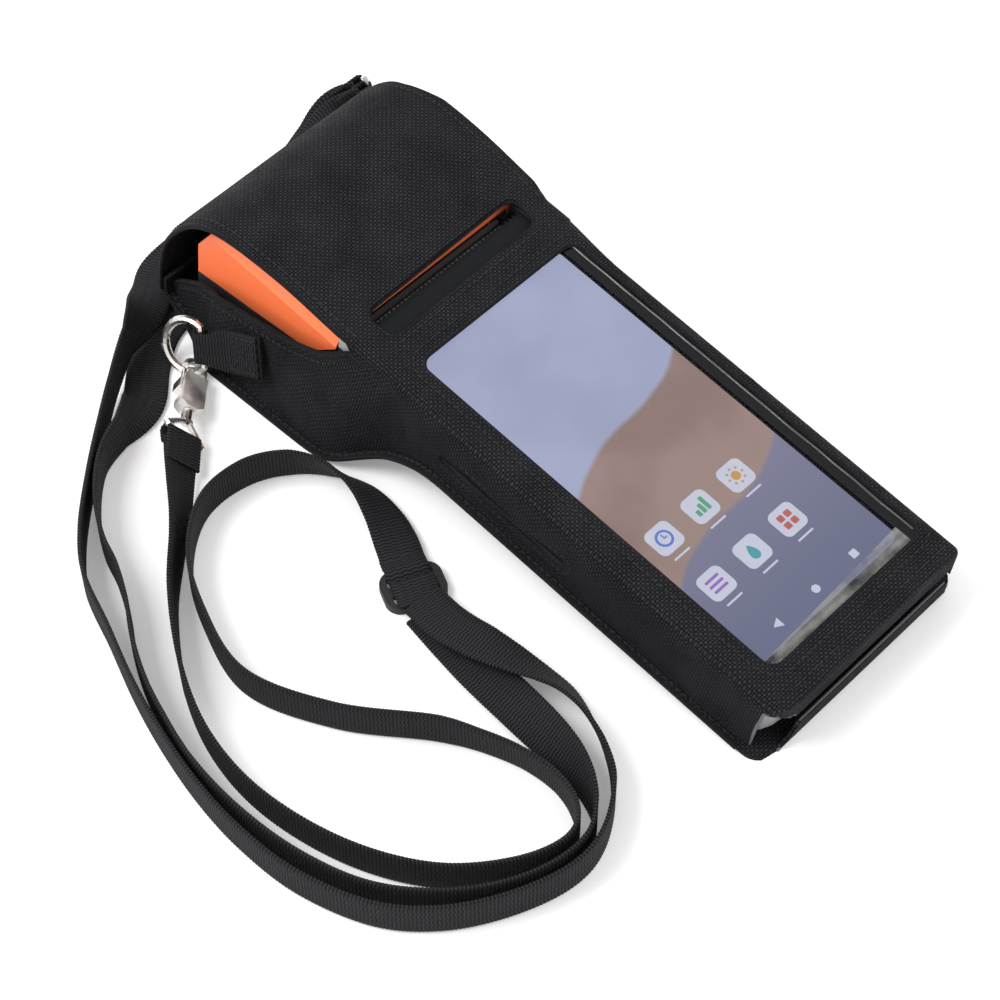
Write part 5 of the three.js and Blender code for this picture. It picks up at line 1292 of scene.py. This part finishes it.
def add_roll():
    """The roll of paper: wound turns, their edges slightly uneven on both ends, and a loose last turn."""
    sides = 96
    profile = [(r, -1) for r in np.linspace(ROLL_BORE, ROLL_R, 40)]
    profile += [(r, 1) for r in np.linspace(ROLL_R, ROLL_BORE, 40)]
    points, uvs = [], []
    for k in range(sides):
        angle = 2 * math.pi * k / sides
        for r, end in profile:
            share = (r - ROLL_BORE) / (ROLL_R - ROLL_BORE)
            edge = ROLL_W / 2 - 0.12 * abs(math.sin(r * 9.1 + 0.7 * math.sin(angle))) * (0.2 < share < 0.98)
            reach = r - 0.14 * (k / sides) * (share > 0.97)
            y, z = ROLL_Y + reach * math.cos(angle), ROLL_Z + reach * math.sin(angle)
            points.append((ROLL_X + end * edge, y, z))
            uvs.append((r, angle * ROLL_R))
    columns = len(profile)
    faces = grid_faces(sides, columns, closed=True) + seam_faces(sides, columns)
    mesh = make_mesh("paper_turns", to_row(points), faces, uvs)
    obj = add_piece("paper_turns", mesh, PAPER_LOOK, "roll")
    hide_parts("paper_roll")


add_roll()


# Turned edges: rounded strips round the openings and along the free edges
def add_edge(name, path, radius=0.85, closed=False, bends=False):
    mesh = tube_mesh(name, resampled(path, 1.2, closed), radius, closed)
    obj = add_piece(name, mesh, EDGE_LOOK, rides=not bends)
    if bends:
        bend_with_flap(obj)


def add_cut_edge(name, path, radius):
    add_piece(name, tube_mesh(name, resampled(path, 0.8), radius), CUT_LOOK)


def level(outline, z):
    return [(x, y, z) for x, y in outline]


def inner_edge(grid, column):
    """A column of a cloth's grid, halfway through the cloth."""
    return grid[:, column] - normals_of(grid)[:, column] * FABRIC / 2


def seam_line(side, first, last, count, out, inset):
    """Points along the seam of a wall and the back, a way out from the wall and up from the back's underside."""
    points = []
    for y in np.linspace(first, last, count):
        half, low = case_half(y, side)
        points.append((side * (half + low + out), y, back_height(y, inset)))
    return points


def lip_line():
    """Along the rounded end and the top of the back's lip at the foot."""
    y, top = BACK_LIP_Y + 0.7, -FOOT_DEPTH + BACK_LIP_H
    line = [(-41.2, y, -25.4)]
    for rise in np.linspace(1 / 8, 1, 8):
        x = -BACK_LIP_X + 0.4 + BACK_LIP_R * math.sin(rise * math.pi / 2)
        line.append((x, y, -FOOT_DEPTH + BACK_LIP_H * rise - 0.3))
    return line + [(0, y, top - 0.2), (37.6, y, top - 0.3)]


def add_edges():
    add_edge("window_edge", level(window_outline(), -FABRIC / 2), closed=True)
    add_edge("slot_edge", level(slot_outline(), -FABRIC / 2 + 0.1), 0.8, closed=True, bends=True)
    add_edge("cover_edge_left", inner_edge(FLAP_GRID, 0), bends=True)
    add_edge("cover_edge_right", inner_edge(FLAP_GRID, -1), bends=True)
    add_edge("cover_edge_end", FLAP_GRID[-1] + np.array((0, -FABRIC / 2, 0)), bends=True)
    for side, name in ((-1, "left"), (1, "right")):
        hem = [wall_point(y, hem_at(y), side, -0.55) for y in np.linspace(FLAP_Y - 1, EAR_TIP_Y, 80)]
        add_edge(f"hem_edge_{name}", hem)
        add_edge(f"seam_edge_{name}", seam_line(side, FOOT_Y + 7, EAR_END_Y, 110, FLANGE - 0.2, FABRIC / 2), 0.95)
    add_cut_edge("arch_edge", ARCH_LINE, 0.55)
    add_cut_edge("lip_edge", lip_line(), 0.5)
    slit = [wall_point(y, z, -1, -0.6) for y, z in rounded_rect(SLIT_L, SLIT_H, 1.2, SLIT_Y, SLIT_Z)]
    add_edge("slit_edge", slit, 0.75, closed=True)


ARCH_LINE = (
    (-46.3, WALL_END_Y, -24), (-45.9, WALL_END_Y, -14), (-45.0, WALL_END_Y - 0.3, -5.2), (-43.4, -86.2, -4.6),
    (-41.6, -87.6, -5.4), (-39, -88.8, -7), (-36.6, FOLD_Y + 0.5, -8.4), (-35.2, FOLD_Y + 0.6, -10.5),
    (-34.4, FOLD_Y + 0.7, -LIP_H),
)
add_edges()


# The film in the window, the picture behind it and its plain symbols
FILM_HALF_W = 39.5
FILM_HALF_L = 80
FILM_Z = -1.75
# Place of the strip of painted glare near the film's lower end
GLARE_Z = -1.36
GLARE_ENDS = (-34.6, 33.4)
GLARE_TOP = -71.5
GLARE_SLOPE = 0.045
DISPLAY_HALF = 33.95
DISPLAY_Y = 7
DISPLAY_L = 150.9
SCREEN_TOP = -2.56
MARK_STEP = 0.04
MARK_T = 0.03
PIPING_X = 36.7
PIPING_Z = -0.95
BAND_SECTION = (
    (33.1, -1.4), (34.6, -1.34), (35.8, -1.22), (36.6, -1.0), (37.2, -0.75), (37.7, -0.85), (38.3, -1.25),
    (39.4, -1.55),
)
TILE = 10.4
TILE_PLACES = ((-23, -22), (-6, -22), (11, -22), (-23, -44), (-6, -44), (11, -44))
GLYPH_TONES = (
    (0.1, 0.18, 0.62), (0.08, 0.36, 0.2), (0.62, 0.3, 0.07), (0.3, 0.12, 0.5), (0.04, 0.34, 0.4), (0.5, 0.1, 0.08),
)


def add_film():
    """The clear film behind the window, flat at its rim and gently wavy inside."""
    rows = []
    for y in np.linspace(-FILM_HALF_L, FILM_HALF_L, 60):
        row = []
        for x in np.linspace(-FILM_HALF_W, FILM_HALF_W, 32):
            inside = min(1.0, max(0.0, min(FILM_HALF_W - abs(x), FILM_HALF_L - abs(y)) / 12))
            row.append((x, y, FILM_Z + ripple(x, y, 0, 34, 0.3, 5.0) * inside))
        rows.append(row)
    obj = add_piece("window_film", sheet_mesh("window_film", rows, 0.2), film_look())
    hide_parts("clear_window")


def add_screen():
    outline = rounded_rect(2 * DISPLAY_HALF, DISPLAY_L, 4, TERMINAL_DX, DISPLAY_Y - 4)
    add_marks("screen_picture", [outline], SCREEN_TOP, screen_look(), mapped=True)


def add_band():
    """The glossy dark border of the film, bent up against the window's right edge, and its piping."""
    section = resampled([(x, 0, z) for x, z in eased(list(BAND_SECTION), 0.6, 3)], 0.22)
    half = WINDOW_L / 2 + 1
    rows = []
    for y in np.linspace(WINDOW_Y - half, WINDOW_Y + half, 150):
        wave = ripple(0, y, 0, 14, 0.5, 2.0)
        row = []
        for x, _, z in section:
            freed = smooth((x - 34) / 3)
            row.append((x + wave * freed, y, z + ripple(x, y, z, 9, 0.3, 8.0) * freed))
        rows.append(row)
    add_piece("window_band", sheet_mesh("window_band", rows, 0.25), VINYL_LOOK)
    piping = [(PIPING_X + ripple(0, y, 0, 14, 0.5, 2.0), y, PIPING_Z + ripple(0, y, 3, 11, 0.3, 4.0))
              for y in np.linspace(WINDOW_Y - half + 4, WINDOW_Y + half - 2.5, 120)]
    add_piece("window_piping", tube_mesh("window_piping", piping, 0.5, sides=10), PIPING_LOOK)


def add_painted_glare():
    """The strip along the film's lower end that carries the painted glare, a pale haze in place of light reflected
    off the film.
    """
    rows = []
    low, high = WINDOW_Y - WINDOW_L / 2 - 1, GLARE_TOP
    for y in np.linspace(low, high, 12):
        share = (y - low) / (high - low)
        row = []
        for x in np.linspace(*GLARE_ENDS, 60):
            reach = max(0.6, high + GLARE_SLOPE * (x + 10) - low)
            z = GLARE_Z + 0.1 * math.sin(share * 3) + ripple(x, y, 0, 9, 0.1)
            row.append((x, low + reach * share, z))
        rows.append(row)
    mesh = sheet_mesh("painted_glare_strip", rows, 0.05)
    box_map(mesh)
    add_piece("painted_glare_strip", mesh, painted_glare_look())


def disc(x, y, r, steps=28):
    turns = [2 * math.pi * k / steps for k in range(steps)]
    return [(x + r * math.cos(a), y + r * math.sin(a)) for a in turns]


def add_marks(name, outlines, top, look, mapped=False):
    """Thin flat shapes on the display, all in one piece, with a map in device millimetres if mapped."""
    points, faces = [], []
    for outline in outlines:
        first, n = len(points), len(outline)
        points += [(x, y, z) for z in (top, top - MARK_T) for x, y in outline]
        faces += [[first + i for i in range(n)], [first + 2 * n - 1 - i for i in range(n)]]
        faces += [[first + i, first + n + i, first + n + (i + 1) % n, first + (i + 1) % n] for i in range(n)]
    uvs = [p[:2] for p in points] if mapped else None
    add_piece(name, make_mesh(name, to_row(points), faces, uvs), look)


def glyph(kind, x, y):
    """A plain sign, the holes in it and what lies over them: clock, bars, sun, list, drop and grid."""
    if kind == 0:
        hands = [rounded_rect(0.5, 1.9, 0.2, x, y + 0.8), rounded_rect(1.6, 0.5, 0.2, x + 0.6, y)]
        return [disc(x, y, 3.1)], [disc(x, y, 2.2)], hands
    if kind == 1:
        bars = ((-2.1, 2.4), (0, 3.8), (2.1, 5.4))
        sign = [rounded_rect(1.5, h, 0.4, x + d, y - 2.6 + h / 2) for d, h in bars]
    elif kind == 2:
        rays = [disc(x + 2.9 * math.cos(a), y + 2.9 * math.sin(a), 0.5, 10) for a in np.arange(8) * math.pi / 4]
        sign = [disc(x, y, 1.7)] + rays
    elif kind == 3:
        sign = [rounded_rect(6, 1.0, 0.4, x, y + d) for d in (-2.1, 0, 2.1)]
    elif kind == 4:
        turn = np.linspace(0, 2 * math.pi, 30)[:-1]
        sign = [[(x + 2.3 * math.sin(a) * math.sin(a / 2), y - 0.2 + 2.9 * math.cos(a)) for a in turn]]
    else:
        sign = [rounded_rect(2.4, 2.4, 0.5, x + a, y + b) for a in (-1.6, 1.6) for b in (-1.6, 1.6)]
    return sign, [], []


def add_symbols():
    first, second, third, fourth = (SCREEN_TOP + MARK_STEP * k for k in (1, 2, 3, 4))
    add_marks("tiles", [rounded_rect(TILE, TILE, 2.4, x, y) for x, y in TILE_PLACES], first, MARK_LOOK)
    holes = []
    for kind, ((x, y), tone) in enumerate(zip(TILE_PLACES, GLYPH_TONES)):
        shapes, cut, hands = glyph(kind, x, y)
        look = glowing(f"sign_{kind + 1}", tone)
        add_marks(f"sign_{kind + 1}", shapes, second, look)
        holes += cut
        if hands:
            add_marks(f"hands_{kind + 1}", hands, fourth, look)
    add_marks("sign_holes", holes, third, MARK_LOOK)
    bars = [disc(-1.5, -66.5, 1.5), rounded_rect(2.8, 2.8, 0.4, 17, -66.5)]
    bars += [[(-21.6, -66.5), (-18.4, -64.7), (-18.4, -68.3)]]
    bars += [rounded_rect(7, 0.7, 0.3, x, y - 7.6) for x, y in TILE_PLACES]
    bars += [rounded_rect(w, h, 0.3, x, 76) for w, h, x in ((2.2, 0.9, 27), (0.9, 1.6, 24), (4.5, 0.7, -28))]
    add_marks("plain_signs", bars, first, MARK_LOOK)


add_film()
add_screen()
add_band()
add_painted_glare()
add_symbols()


# Sewn rows
def front_point(x, y):
    return (x, y, front_ripple(x, y) * front_fade(y) + 0.02)


def add_stitches():
    case, cover = Stitches(), Stitches()
    up = np.array((0, 0, 1))
    path = resampled([(x, y, 0) for x, y in window_outline(3.4) if x < 38.6], 1.0)
    case.row([front_point(x, y) for x, y, _ in path], up)
    case.row([front_point(x, FOLD_Y + 4.2) for x in np.linspace(-32, 38, 60)], up)
    slot_low = SLOT_Y - SLOT_L / 2 - 2.4
    cover.row([(x, slot_low + x * SLOT_TURN, 0.02) for x in np.linspace(-32, 33, 50)], up)
    for side in (-1, 1):
        hem = [wall_point(y, hem_at(y) - 3.0, side, 0.3) for y in np.linspace(FLAP_Y + 5, EAR_END_Y - 4, 80)]
        case.row(hem, (side * 0.95, 0, 0.3), radius=0.3)
        case.row(seam_line(side, FOOT_Y + 10, EAR_END_Y - 2, 120, 1.5, FABRIC + 0.05), up, 2.8, 2.0, 0.3)
        column = 2 if side < 0 else -3
        edge = FLAP_GRID[9:-3, column]
        cover.row(edge, turned_out(edge, FLAP_GRID, column))
    slit_row = [wall_point(y, z, -1, 0.25) for y, z in rounded_rect(SLIT_L + 5, SLIT_H + 4.4, 2.4, SLIT_Y, SLIT_Z)]
    case.row(slit_row, (-1, 0, 0.1), radius=0.26, closed=True)
    add_piece("case_stitches", case.mesh("case_stitches"), THREAD_LOOK)
    obj = add_piece("cover_stitches", cover.mesh("cover_stitches"), THREAD_LOOK, rides=False)
    bend_with_flap(obj)


def turned_out(edge, grid, column):
    """The outward direction at each stitch of a row along a column of the flap."""
    normals = normals_of(grid)[9:-3, column]
    count = len(resampled(edge, STITCH_PITCH))
    return normals[np.linspace(0, len(normals) - 1, count).round().astype(int)]


add_stitches()

# Materials of the CAD nodes that stay
LOOKS = (
    (FRAME_LOOK, "front_frame"), (REAR_LOOK, "rear_shell"), (LID_LOOK, "printer_lid"), (DECK_LOOK, "tear_deck"),
    (GLASS_LOOK, "display_glass display_panel camera_lens"), (RUBBER_LOOK, "platen_rubber"),
    (CELL_LOOK, "battery_pack"), (BOARD_LOOK, "main_board key_switch_strip"), (BUCKLE_LOOK, "strap_slider"),
    (GEAR_LOOK, "paper_core platen_gear idler_gear"),
    (DARK_LOOK, "feed_motor printer_chassis thermal_head speaker camera_module"),
    (DARK_LOOK, "key_volume_up key_volume_down key_power"),
    (STEEL_LOOK, "lid_hinge_pin platen_shaft motor_pinion idler_pin head_bracket usb_socket"),
    (STEEL_LOOK, "shell_screw_1 shell_screw_2 shell_screw_3 shell_screw_4"),
    (BODY_LOOK, "hook_body_left hook_body_right"),
    (NICKEL_LOOK, "d_ring_left d_ring_right hook_bolt_left hook_bolt_right hook_eye_left hook_eye_right"),
)
for name, look in ((name, look) for look, names in LOOKS for name in names.split()):
    mesh = nodes[name].data
    mesh.materials.clear()
    mesh.materials.append(look)
    bevel = nodes[name].modifiers.new("edges", "BEVEL")
    bevel.width, bevel.segments, bevel.limit_method = 0.25 * MM, 2, "ANGLE"
    bevel.angle_limit = math.radians(40)
